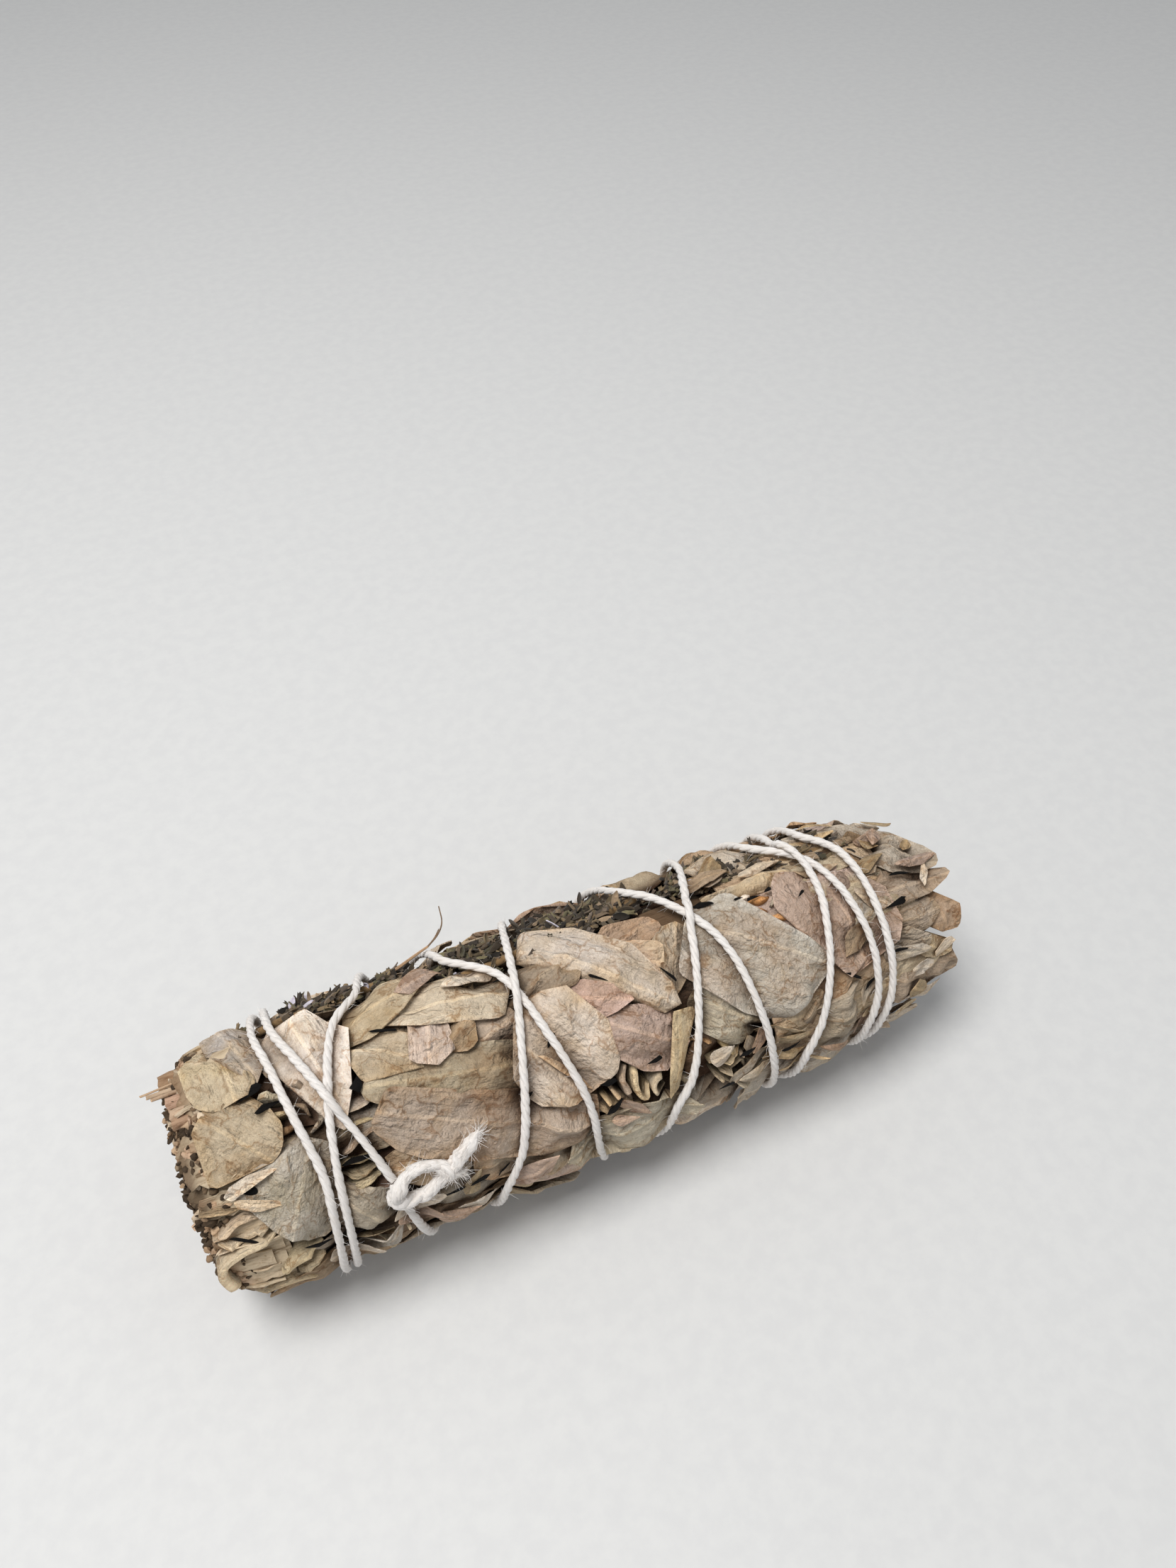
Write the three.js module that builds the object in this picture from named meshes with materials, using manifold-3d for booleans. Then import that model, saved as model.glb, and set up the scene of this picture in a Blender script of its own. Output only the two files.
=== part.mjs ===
// A dried herb bundle that lies on its side: sage sprigs and flowering herb sprays,
// bound with one cotton string. Millimetres, +Z up. The bundle runs along X, with its
// sawn end at -X and its leaf tips at +X, and it rests on the plane Z = 0.
//
// Places on the bundle are given as a distance from the sawn end, an angle round the
// axis and a distance from the axis. The angle is 0 on the near side (-Y), 90 on top,
// 180 on the far side and 270 underneath.

import * as THREE from 'three';
import { mergeVertices } from 'three/addons/utils/BufferGeometryUtils.js';
import Module from 'manifold-3d';

const wasm = await Module();
wasm.setup();

// Driving dimensions
const LENGTH = 150;
const RADIUS = 24;
const PRESSED_FLAT = 1.0;
const GAP = 0.4;
const DETAIL = 0.12;

const SPRIG_COUNT = 8;
const CORE_SHARE = 0.86;
const CORE_END = 127;
const STEM_RADIUS = 2.4;
const SEAM_WAVE = 9;
const SEAM_WAVE_LENGTH = 58;

const LEAF_THICKNESS = 0.9;
const LEAF_HALF_WIDTH = 10.5;
const LEAF_LENGTH = 54;
const LEAF_ROWS = [0, 26, 56, 96];
const LEAF_CROWN = 0.9;
const LEAF_RUFFLE = 0.55;
const LOWEST_LAYER = -1.1;
const LAYER_STEP = 0.9;

const SPRAY_STEM_RADIUS = 0.95;
const SPRAY_CLEARANCE_RADIUS = 3.8;
const CALYX_LENGTH = 6;
const CALYX_RADIUS = 1.15;
const CALYX_SPREAD = 0.38;
const CALYX_SPACING = 5.6;

const STRING_RADIUS = 1;
const STRING_STEPS_PER_TURN = 12;
const STRING_SIDES = 5;
const CROSSING_REACH = 3.2;
const CROSSING_LIFT = 1.7 * STRING_RADIUS;

const KNOT_START = 31;
const KNOT_LENGTH = 12;
const KNOT_ANGLE = 27;
const KNOT_LIFT = 1.2;
const KNOT_TWISTS = 1.5;

const AXIS_HEIGHT = RADIUS - PRESSED_FLAT;
const AXIS_Y = -0.5;
const LOWEST_STRING_CENTRE = STRING_RADIUS + 0.03;

// How thick the bundle is along its length, as shares of LENGTH and RADIUS
const THICKNESS_ALONG = [
  [0, 0.9],
  [0.06, 0.95],
  [0.15, 1],
  [0.7, 1],
  [0.87, 0.94],
  [0.95, 0.84],
  [1, 0.72],
];

// The string's strands across the top and front, in winding order from the knot and
// back to it. Each point is [distance from the sawn end, angle]. Between two strands
// the string passes underneath and comes up the far side.
const STRANDS = [
  [[32.5, 26], [35, -7]],
  [[53, 123], [61, 99], [65, 66], [68, 33], [69, -4]],
  [[88, 133], [95, 105], [101, 77], [103.5, 40], [105, 4]],
  [[117, 128], [125.5, 98], [129, 58], [128.5, 24], [126.5, -6]],
  [[128, 123], [132.5, 98], [133, 56], [132, 23], [129.5, -8]],
  [[122, 120], [124, 91], [121, 59], [116, 24], [112, -1]],
  [[103, 131], [98, 94], [93, 58], [88, 23], [84, 4]],
  [[66, 129], [63, 92], [59, 58], [55, 24], [50, -6]],
  [[37, 124], [31, 105], [26, 70], [22.5, 40], [21, -20]],
  [[17.5, 124], [19, 93], [20, 49], [19, 18], [18.5, -16]],
  [[20.5, 123], [25, 85], [30, 52], [32.5, 32]],
];

// The knot's tail, as [distance from the knot, angle, height above the surface, radius]
const KNOT_TAIL = [[0, 30, 1.2, 0.9], [2, 32, 1.5, 1.1], [4, 36, 1.9, 1.7], [6, 40, 2.2, 1.8], [7.5, 43, 2.3, 1]];

// The herb sprays, as [distance from the sawn end, angle, depth under the surface]
const SPRAYS = [
  { stem: [[0.6, 120, 9], [14, 128, 2.4], [30, 136, 2.3], [46, 139, 2.3]], head: 8 },
  { stem: [[0.8, 150, 11], [30, 148, 8], [44, 126, 4], [54, 112, 2.3], [80, 117, 2.3], [92, 123, 2.4]], head: 46 },
  { stem: [[0.5, 140, 15], [60, 146, 13], [92, 142, 9], [100, 124, 3], [118, 112, 2.3], [134, 112, 2.6]], head: 102 },
];

const SAGE = new THREE.MeshStandardMaterial({ color: 0xb9b099, roughness: 0.95, metalness: 0 });
const HERB = new THREE.MeshStandardMaterial({ color: 0x5c5238, roughness: 0.95, metalness: 0 });
const COTTON = new THREE.MeshStandardMaterial({ color: 0xe8e0d2, roughness: 0.9, metalness: 0 });

function randomDraws(seed) {
  let state = seed;
  return (low, high) => {
    state = (state * 1664525 + 1013904223) % 4294967296;
    return low + (high - low) * (state / 4294967296);
  };
}

function readAlong(table, at) {
  let row = 1;
  while (row < table.length - 1 && at > table[row][0]) row += 1;
  const [x0, y0] = table[row - 1];
  const [x1, y1] = table[row];
  return THREE.MathUtils.lerp(y0, y1, THREE.MathUtils.clamp((at - x0) / (x1 - x0), 0, 1));
}

function bundleRadius(distance) {
  return RADIUS * readAlong(THICKNESS_ALONG, distance / LENGTH);
}

function onBundle(distance, angle, radius) {
  const turn = THREE.MathUtils.degToRad(angle);
  const y = AXIS_Y - radius * Math.cos(turn);
  const z = AXIS_HEIGHT + radius * Math.sin(turn);
  return new THREE.Vector3(distance - LENGTH / 2, y, z);
}

// Solids

function solidFrom(positions, triangles) {
  const geometry = new THREE.BufferGeometry();
  geometry.setAttribute('position', new THREE.Float32BufferAttribute(positions, 3));
  geometry.setIndex(triangles);
  return solidFromGeometry(geometry);
}

function signedVolume(points, index) {
  const corners = [0, 1, 2].map(() => new THREE.Vector3());
  let volume = 0;
  for (let i = 0; i < index.length; i += 3) {
    corners.forEach((corner, c) => corner.fromArray(points, 3 * index[i + c]));
    volume += corners[0].dot(corners[1].clone().cross(corners[2])) / 6;
  }
  return volume;
}

function solidFromGeometry(geometry) {
  geometry.deleteAttribute('normal');
  geometry.deleteAttribute('uv');
  const merged = mergeVertices(geometry, 1e-4);
  const vertProperties = new Float32Array(merged.attributes.position.array);
  const triVerts = new Uint32Array(merged.index.array);
  if (signedVolume(vertProperties, triVerts) < 0) triVerts.reverse();
  return new wasm.Manifold(new wasm.Mesh({ numProp: 3, vertProperties, triVerts }));
}

// A solid through closed outlines of equally many points. Quads from mirrorFrom on are
// split along their other diagonal, so that two facing walls are split alike.
function loft(outlines, mirrorFrom = Infinity) {
  const count = outlines[0].length;
  const positions = outlines.flat().flatMap((point) => point.toArray());
  const triangles = [];
  for (let i = 0; i < outlines.length - 1; i += 1) {
    for (let j = 0; j < count; j += 1) {
      const a = i * count + j;
      const b = i * count + ((j + 1) % count);
      const c = b + count;
      const d = a + count;
      if (j < mirrorFrom) triangles.push(a, b, c, a, c, d);
      else triangles.push(a, b, d, b, c, d);
    }
  }
  addCap(positions, triangles, outlines[0], 0, true);
  addCap(positions, triangles, outlines.at(-1), (outlines.length - 1) * count, false);
  return solidFrom(positions, triangles);
}

function addCap(positions, triangles, outline, first, reversed) {
  const centre = new THREE.Vector3();
  outline.forEach((point) => centre.addScaledVector(point, 1 / outline.length));
  const middle = positions.length / 3;
  positions.push(...centre.toArray());
  outline.forEach((_, j) => {
    const a = first + j;
    const b = first + ((j + 1) % outline.length);
    if (reversed) triangles.push(b, a, middle);
    else triangles.push(a, b, middle);
  });
}

// The outlines of a tube along points, set out from the direction away from the axis
function tubeOutlines(points, radii, sides) {
  const curve = new THREE.CatmullRomCurve3(points);
  return points.map((point, i) => {
    const forward = curve.getTangent(i / (points.length - 1));
    const outward = new THREE.Vector3(0, point.y - AXIS_Y, point.z - AXIS_HEIGHT);
    const side = outward.addScaledVector(forward, -outward.dot(forward)).normalize();
    const up = new THREE.Vector3().crossVectors(forward, side);
    return Array.from({ length: sides }, (_, s) => {
      const turn = (2 * Math.PI * s) / sides;
      return point.clone()
        .addScaledVector(side, radii[i] * Math.cos(turn))
        .addScaledVector(up, radii[i] * Math.sin(turn));
    });
  });
}

function tube(points, radii, sides) {
  return loft(tubeOutlines(points, radii, sides));
}

function joined(solids) {
  return solids.reduce((sum, solid) => sum.add(solid));
}

// Fills a sealed hollow and drops loose scraps: the largest shell is the whole piece.
function wholePiece(solid) {
  const pieces = solid.simplify(DETAIL).decompose();
  return pieces.reduce((best, piece) => (piece.volume() > best.volume() ? piece : best));
}

function namedMesh(name, solid, material) {
  const { vertProperties, triVerts } = solid.getMesh();
  const geometry = new THREE.BufferGeometry();
  geometry.setAttribute('position', new THREE.Float32BufferAttribute(vertProperties, 3));
  geometry.setIndex(Array.from(triVerts));
  geometry.computeVertexNormals();
  const mesh = new THREE.Mesh(geometry, material);
  mesh.name = name;
  return mesh;
}

// The string

// One [distance, angle] list for the whole winding, with the angle running on downward
function windingPoints() {
  return STRANDS.flatMap((strand, turn) => strand.map(([distance, angle]) => [distance, angle - 360 * turn]));
}

// Cubic through the winding's points, read at an angle
function windingDistance(points, angle) {
  let i = 1;
  while (i < points.length - 1 && angle < points[i][1]) i += 1;
  const before = points[Math.max(i - 2, 0)];
  const start = points[i - 1];
  const end = points[i];
  const after = points[Math.min(i + 1, points.length - 1)];
  const span = end[1] - start[1];
  const share = (angle - start[1]) / span;
  const slopeIn = i > 1 ? (span * (end[0] - before[0])) / (end[1] - before[1]) : end[0] - start[0];
  const slopeOut = (span * (after[0] - start[0])) / (after[1] - start[1]);
  const square = share * share;
  const cube = square * share;
  return (2 * cube - 3 * square + 1) * start[0] + (cube - 2 * square + share) * slopeIn
    + (3 * square - 2 * cube) * end[0] + (cube - square) * slopeOut;
}

// How far a later strand is lifted where it lies on an earlier one
function crossingLift(places, at) {
  let lift = 0;
  for (let i = 0; i < at - STRING_STEPS_PER_TURN / 2; i += 1) {
    const round = Math.abs(((places[at].angle - places[i].angle + 180) % 360 + 360) % 360 - 180);
    const across = THREE.MathUtils.degToRad(round) * RADIUS;
    const distance = Math.hypot(across, places[at].distance - places[i].distance);
    lift = Math.max(lift, CROSSING_LIFT * Math.max(0, 1 - (distance / CROSSING_REACH) ** 2));
  }
  return lift;
}

function stringCentreLine() {
  const points = windingPoints();
  const first = points[0][1];
  const last = points.at(-1)[1];
  const count = Math.round(((first - last) / 360) * STRING_STEPS_PER_TURN);
  const places = Array.from({ length: count + 1 }, (_, i) => {
    const angle = THREE.MathUtils.lerp(first, last, i / count);
    return { angle, distance: windingDistance(points, angle) };
  });
  return places.map((place, i) => {
    const radius = bundleRadius(place.distance) + crossingLift(places, i);
    const centre = onBundle(place.distance, place.angle, radius);
    centre.z = Math.max(centre.z, LOWEST_STRING_CENTRE);
    return centre;
  });
}

// The winding, joined from its turns so that a strand may touch an earlier one
function windingSolid(centres, radius) {
  const outlines = tubeOutlines(centres, centres.map(() => radius), STRING_SIDES);
  const turns = [];
  for (let start = 0; start < outlines.length - 1; start += STRING_STEPS_PER_TURN) {
    turns.push(loft(outlines.slice(start, start + STRING_STEPS_PER_TURN + 1)));
  }
  return joined(turns);
}

// Two strands twisted together at the knot
function knotStrands(extra) {
  const steps = 8;
  const leastSpread = 0.35;
  const addedSpread = 0.75;
  return [0, 180].map((phase) => {
    const points = Array.from({ length: steps + 1 }, (_, i) => {
      const share = i / steps;
      const turn = THREE.MathUtils.degToRad(phase + 360 * KNOT_TWISTS * share);
      const spread = leastSpread + addedSpread * Math.sin(Math.PI * share);
      const distance = KNOT_START + KNOT_LENGTH * share;
      const radius = bundleRadius(distance) + KNOT_LIFT + spread * Math.sin(turn);
      const angle = KNOT_ANGLE + 3 * share + THREE.MathUtils.radToDeg((spread * Math.cos(turn)) / RADIUS);
      return onBundle(distance, angle, radius);
    });
    return tube(points, points.map(() => STRING_RADIUS + extra), STRING_SIDES);
  });
}

// The knot with its frayed tail
function knotSolid(extra) {
  const start = KNOT_START + KNOT_LENGTH - 1;
  const places = KNOT_TAIL.map(([along, angle, lift]) => (
    onBundle(start + along, angle, bundleRadius(start + along) + lift)
  ));
  const tail = tube(places, KNOT_TAIL.map(([, , , radius]) => radius + extra), STRING_SIDES);
  return joined([...knotStrands(extra), tail]);
}

// Sage sprigs

// The wavy seam between two sprigs, as an angle at a distance from the sawn end
function seamAngle(seam, distance) {
  const wave = Math.sin((2 * Math.PI * distance) / SEAM_WAVE_LENGTH + 2.4 * (seam % SPRIG_COUNT));
  return ((seam - 0.5) * 360) / SPRIG_COUNT + SEAM_WAVE * wave;
}

// The room of one sprig: a wedge between two seams, half a gap short of each
function sprigRoom(sprig) {
  const reaches = [3, 30];
  const tipReach = 1.2;
  const stations = 9;
  const overrun = 6;
  const outlines = Array.from({ length: stations + 1 }, (_, i) => {
    const distance = THREE.MathUtils.lerp(-overrun, LENGTH + overrun, i / stations);
    const low = seamAngle(sprig, distance);
    const high = seamAngle(sprig + 1, distance);
    const inset = (reach) => THREE.MathUtils.radToDeg(Math.asin((0.62 * GAP) / reach));
    const near = reaches.map((reach) => onBundle(distance, low + inset(reach), reach));
    const far = reaches.map((reach) => onBundle(distance, high - inset(reach), reach));
    const tip = onBundle(distance, (low + high) / 2, tipReach);
    return [tip, ...near, onBundle(distance, (low + high) / 2, reaches.at(-1) * 1.06), ...far.reverse()];
  });
  return loft(outlines, reaches.length + 1);
}

// The packed inner leaves of the whole bundle, which the outer leaves stand out of
function packedCore() {
  const sides = 16;
  const places = [0.3, 2.5, 8, 24, 104, 118, CORE_END];
  const shares = [0.8, 0.96, 1, 1, 1, 0.97, 0.8];
  const outlines = places.map((distance, i) => Array.from({ length: sides }, (_, s) => (
    onBundle(distance, (360 * s) / sides, bundleRadius(distance) * CORE_SHARE * shares[i])
  )));
  return loft(outlines);
}

// A leaf that lies along the bundle: a ridged, crowned blade with waved edges. Over the
// packed core its underside is sunk in it, and past the core it is a thin free blade.
function leafBlade({ start, length, halfWidth, angle, lean, layer, scale, wave }) {
  const rows = 4;
  const columns = [-1, 0, 1];
  const leastHalfWidth = 0.9;
  const rootDepth = 1.2;
  const outlines = Array.from({ length: rows + 1 }, (_, i) => {
    const along = i / rows;
    const distance = start + length * along;
    const surface = bundleRadius(distance) * scale;
    const swell = Math.sin(Math.PI * (0.04 + 0.93 * along) ** 0.8) ** 0.7;
    const width = Math.max(leastHalfWidth, halfWidth * swell);
    const places = columns.map((column) => {
      const crown = LEAF_CROWN * column * column;
      const ruffle = LEAF_RUFFLE * Math.abs(column) * Math.sin(9 * along + wave + 2 * column);
      const radius = surface + layer - crown + ruffle;
      const turn = angle + lean * (along - 0.5) + THREE.MathUtils.radToDeg((width * column) / surface);
      return { radius, turn };
    });
    const coreSurface = bundleRadius(distance) * CORE_SHARE * scale;
    const sunk = distance < CORE_END - 6 ? coreSurface - rootDepth : Infinity;
    const top = places.map(({ radius, turn }) => onBundle(distance, turn, radius));
    const bottom = places.map(({ radius, turn }) => onBundle(distance, turn, Math.min(radius - LEAF_THICKNESS, sunk)));
    return [...top, ...bottom.reverse()];
  });
  return loft(outlines, columns.length);
}

function outerLeaves(sprig, draw) {
  const middle = (360 * sprig) / SPRIG_COUNT;
  return LEAF_ROWS.map((row, i) => {
    const start = Math.max(0.4, row + draw(-4, 4));
    const length = Math.min(LEAF_LENGTH + draw(-6, 8), LENGTH - draw(0, 5) - start);
    return leafBlade({
      start: row === 0 ? draw(4, 8) : start,
      length,
      halfWidth: LEAF_HALF_WIDTH + draw(-1.5, 1.5),
      angle: middle + (i % 2 === 0 ? 8 : -8) + draw(-3, 3),
      lean: draw(-14, 14),
      layer: LOWEST_LAYER + LAYER_STEP * (i % 3) + draw(-0.2, 0.2),
      scale: 1,
      wave: draw(0, 6),
    });
  });
}

// Shorter leaves inside the narrow end, rooted in the packed core
function innerTips(sprig, draw) {
  const middle = (360 * sprig) / SPRIG_COUNT;
  return [0.7, 0.4].map((scale, i) => leafBlade({
    start: 108 + draw(-2, 2),
    length: 36 - 4 * i + draw(-3, 2),
    halfWidth: 8 * scale + 1,
    angle: middle + draw(-5, 5),
    lean: draw(-10, 10),
    layer: 0,
    scale,
    wave: draw(0, 6),
  }));
}

function woodyStem(sprig, draw) {
  const angle = (360 * sprig) / SPRIG_COUNT + draw(-6, 6);
  const out = draw(0.25, 0.7) * bundleRadius(0);
  const start = draw(0.4, 1.6);
  const points = [start, 12, 30].map((distance) => onBundle(distance, angle, out));
  return tube(points, points.map(() => STEM_RADIUS * draw(0.8, 1.1)), 7);
}

function sageSprig(sprig, core, cutAway) {
  const draw = randomDraws(101 + sprig);
  const room = sprigRoom(sprig);
  const parts = [core, woodyStem(sprig, draw), ...outerLeaves(sprig, draw), ...innerTips(sprig, draw)];
  return wholePiece(joined(parts).simplify(0.25).intersect(room).subtract(cutAway));
}

// Herb sprays

function sprayCurve(stem) {
  return new THREE.CatmullRomCurve3(stem.map(([distance, angle, depth]) => (
    onBundle(distance, angle, bundleRadius(distance) - depth)
  )));
}

function calyx(root, direction, length) {
  const points = [0, 0.6, 1].map((share) => root.clone().addScaledVector(direction, length * share));
  return tube(points, [0.5, CALYX_RADIUS, 0.5], 3);
}

function sprayCalyxes(curve, head, draw) {
  const length = curve.getLength();
  const calyxes = [];
  for (let whorl = 0; head + whorl * CALYX_SPACING < length - 1; whorl += 1) {
    const at = head + whorl * CALYX_SPACING;
    const root = curve.getPointAt(at / length);
    const forward = curve.getTangentAt(at / length);
    const side = new THREE.Vector3().crossVectors(forward, new THREE.Vector3(0, 0, 1)).normalize();
    const up = new THREE.Vector3().crossVectors(side, forward);
    const first = 60 * whorl + draw(-12, 12);
    for (let petal = 0; petal < 3; petal += 1) {
      const turn = THREE.MathUtils.degToRad(first + 120 * petal);
      const direction = forward.clone().multiplyScalar(0.9)
        .addScaledVector(side, CALYX_SPREAD * Math.cos(turn))
        .addScaledVector(up, CALYX_SPREAD * Math.sin(turn))
        .normalize();
      calyxes.push(calyx(root, direction, CALYX_LENGTH * draw(0.75, 1)));
    }
  }
  return calyxes;
}

function sprayStem(curve, radius, steps) {
  const points = curve.getSpacedPoints(steps);
  return tube(points, points.map(() => radius), 5);
}

function herbSpray(spray, seed, cutAway) {
  const curve = sprayCurve(spray.stem);
  const steps = Math.round(curve.getLength() / 9);
  const calyxes = sprayCalyxes(curve, spray.head, randomDraws(seed));
  return wholePiece(joined([sprayStem(curve, SPRAY_STEM_RADIUS, steps), ...calyxes]).subtract(cutAway));
}

// The clear space round a spray: wide at its head, and narrow where its stem runs inside
function sprayClearance(spray) {
  const curve = sprayCurve(spray.stem);
  const length = curve.getLength();
  const steps = Math.round(length / 9);
  const points = curve.getSpacedPoints(steps);
  const radii = points.map((_, i) => (
    (i / steps) * length > spray.head - 5 ? SPRAY_CLEARANCE_RADIUS : SPRAY_STEM_RADIUS + 1.5 * GAP
  ));
  points.unshift(points[0].clone().addScaledVector(curve.getTangent(0), -CALYX_LENGTH));
  points.push(points.at(-1).clone().addScaledVector(curve.getTangent(1), CALYX_LENGTH));
  return tube(points, [radii[0], ...radii, SPRAY_CLEARANCE_RADIUS - 1], 6);
}

// The whole bundle

function belowTable() {
  const depth = 30;
  const slab = new THREE.BoxGeometry(LENGTH * 2, LENGTH, depth);
  slab.translate(0, 0, -depth / 2);
  return solidFromGeometry(slab);
}

function buildBundle() {
  const bundle = new THREE.Group();
  const centres = stringCentreLine();
  const string = joined([windingSolid(centres, STRING_RADIUS), knotSolid(0)]);
  const stringRoom = joined([windingSolid(centres, STRING_RADIUS + GAP), knotSolid(GAP)]);
  const cutFromSprigs = joined([stringRoom, belowTable(), ...SPRAYS.map(sprayClearance)]);
  const core = packedCore();
  for (let sprig = 0; sprig < SPRIG_COUNT; sprig += 1) {
    bundle.add(namedMesh(`sage_sprig_${sprig + 1}`, sageSprig(sprig, core, cutFromSprigs), SAGE));
  }
  SPRAYS.forEach((spray, i) => {
    bundle.add(namedMesh(`herb_spray_${i + 1}`, herbSpray(spray, 31 + i, stringRoom), HERB));
  });
  bundle.add(namedMesh('binding_string', wholePiece(string), COTTON));
  return bundle;
}

export default buildBundle();
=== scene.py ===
# A dried herb bundle that lies on a pale floor: sage leaves and flowering herb sprays,
# bound with one cotton string. Lengths are millimetres until a mesh is made.
#
# Places on the bundle are a distance from the sawn end and an angle round the axis in
# degrees. The angle is 0 on the near side (-Y), 90 on top, 180 on the far side and 270
# underneath.

import math

import bpy
import numpy as np
from mathutils import Matrix, Vector
from mathutils.geometry import delaunay_2d_cdt


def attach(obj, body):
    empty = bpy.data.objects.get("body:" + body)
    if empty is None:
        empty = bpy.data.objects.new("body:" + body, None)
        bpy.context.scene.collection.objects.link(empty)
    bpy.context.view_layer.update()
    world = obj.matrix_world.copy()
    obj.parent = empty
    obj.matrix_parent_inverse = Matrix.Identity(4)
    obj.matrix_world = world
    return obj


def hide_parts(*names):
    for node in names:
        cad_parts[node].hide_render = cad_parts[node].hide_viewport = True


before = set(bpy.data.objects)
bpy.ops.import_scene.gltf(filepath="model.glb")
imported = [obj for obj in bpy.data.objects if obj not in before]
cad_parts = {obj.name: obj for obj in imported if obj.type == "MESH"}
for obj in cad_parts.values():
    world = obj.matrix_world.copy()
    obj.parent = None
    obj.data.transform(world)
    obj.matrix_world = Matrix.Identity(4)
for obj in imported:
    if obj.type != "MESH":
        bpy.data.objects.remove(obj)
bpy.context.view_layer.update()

MM = 0.001

# The bundle
LENGTH = 150.0
RADIUS = 24.0
AXIS_Y = -0.5
AXIS_HEIGHT = 23.0
ARC = math.radians(RADIUS)
THICKNESS_ALONG = ([0, 0.06, 0.15, 0.7, 0.87, 0.95, 1], [0.9, 0.95, 1, 1, 0.94, 0.84, 0.72])
SPRIG_COUNT = 8
BULGE = 0.8
TABLE_CLEARANCE = 0.12

# The string
STRING_RADIUS = 1.0
STRING_STEP = 0.8
CROSSING_REACH = 2.4
CROSSING_LIFT = 1.7
LOWEST_STRING_CENTRE = 1.03

# Leaves
LEAF_THICKNESS = 0.42
LEAF_CLEARANCE = 0.12
ROOF_CLEARANCE = 0.05
SHARP_EDGE = math.radians(50)

# The maps of heights over the bundle's surface
MAP_LOW = -8.0
MAP_HIGH = 160.0
MAP_STEP = 0.5

# The string's strands across the top and front, in winding order from the knot and back
# to it. Between two strands the string passes underneath and comes up the far side.
STRANDS = [
    [(32.5, 26), (35, -7)],
    [(53, 123), (61, 99), (65, 66), (68, 33), (69, -4)],
    [(88, 133), (95, 105), (101, 77), (103.5, 40), (105, 4)],
    [(117, 128), (125.5, 98), (129, 58), (128.5, 24), (126.5, -6)],
    [(128, 123), (132.5, 98), (133, 56), (132, 23), (129.5, -8)],
    [(122, 120), (124, 91), (121, 59), (116, 24), (112, -1)],
    [(103, 131), (98, 94), (93, 58), (88, 23), (84, 4)],
    [(66, 129), (63, 92), (59, 58), (55, 24), (50, -6)],
    [(37, 124), (31, 105), (26.2, 70), (24.3, 45), (23.3, 20), (22.2, -16)],
    [(17.5, 124), (19.2, 93), (20.6, 70), (22.0, 47), (21.1, 20), (20.0, -16)],
    [(20.5, 123), (25, 85), (30, 52), (32.5, 32)],
]

# The herb sprays: where each stem runs, as distance, angle and depth, and where its
# flowering head starts and ends along the bundle
SPRAYS = [
    {"stem": [(0.6, 120, 9), (14, 128, 2.4), (30, 136, 2.3), (46, 139, 2.3)], "head": (9, 50)},
    {"stem": [(0.8, 150, 11), (30, 148, 8), (44, 126, 4), (54, 112, 2.3), (80, 117, 2.3), (92, 123, 2.4)],
     "head": (40, 95)},
    {"stem": [(0.5, 140, 15), (60, 146, 13), (92, 142, 9), (100, 124, 3), (118, 112, 2.3), (134, 112, 2.6)],
     "head": (97, 137)},
]

# Leaf colours, as seen in daylight (0 to 255)
GREY = (184, 179, 165)
PALE = (205, 198, 182)
CREAM = (198, 187, 160)
OLIVE = (168, 155, 128)
PINK = (198, 180, 167)
MAUVE = (176, 160, 146)
BROWN = (156, 139, 115)
TAN = (182, 160, 132)
TONE = np.array([1.185, 1.15, 1.15])

GOLDEN_ANGLE = 137.508


def linear(colour):
    share = np.asarray(colour, float) * TONE / 255
    return np.where(share <= 0.04045, share / 12.92, ((share + 0.055) / 1.055) ** 2.4)


def noise(points, seed):
    """Smooth noise from -1 to 1 at rows of up to three coordinates."""
    points = np.atleast_2d(points)
    if points.shape[1] < 3:
        points = np.hstack([points, np.zeros((len(points), 3 - points.shape[1]))])
    cell = np.floor(points).astype(np.int64)
    part = points - cell
    part = part * part * (3 - 2 * part)
    total = np.zeros(len(points))
    for corner in np.ndindex(2, 2, 2):
        at = cell + corner
        code = at[:, 0] * 73856093 ^ at[:, 1] * 19349663 ^ at[:, 2] * 83492791 ^ (seed * 2654435761)
        code = (code ^ (code >> 13)) * 1274126177
        code = (code ^ (code >> 16)) & 0xFFFF
        weight = np.prod(np.where(np.array(corner) == 1, part, 1 - part), axis=1)
        total += weight * (code / 32767.5 - 1)
    return total


def bundle_radius(distance):
    return RADIUS * np.interp(np.asarray(distance) / LENGTH, *THICKNESS_ALONG)


def on_bundle(distance, angle, radius):
    turn = np.radians(angle)
    y = AXIS_Y - radius * np.cos(turn)
    z = AXIS_HEIGHT + radius * np.sin(turn)
    return np.stack(np.broadcast_arrays(np.asarray(distance) - LENGTH / 2, y, z), axis=-1)


# Gathered geometry: what is laid is added to a named piece, and made into meshes at the end

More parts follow.
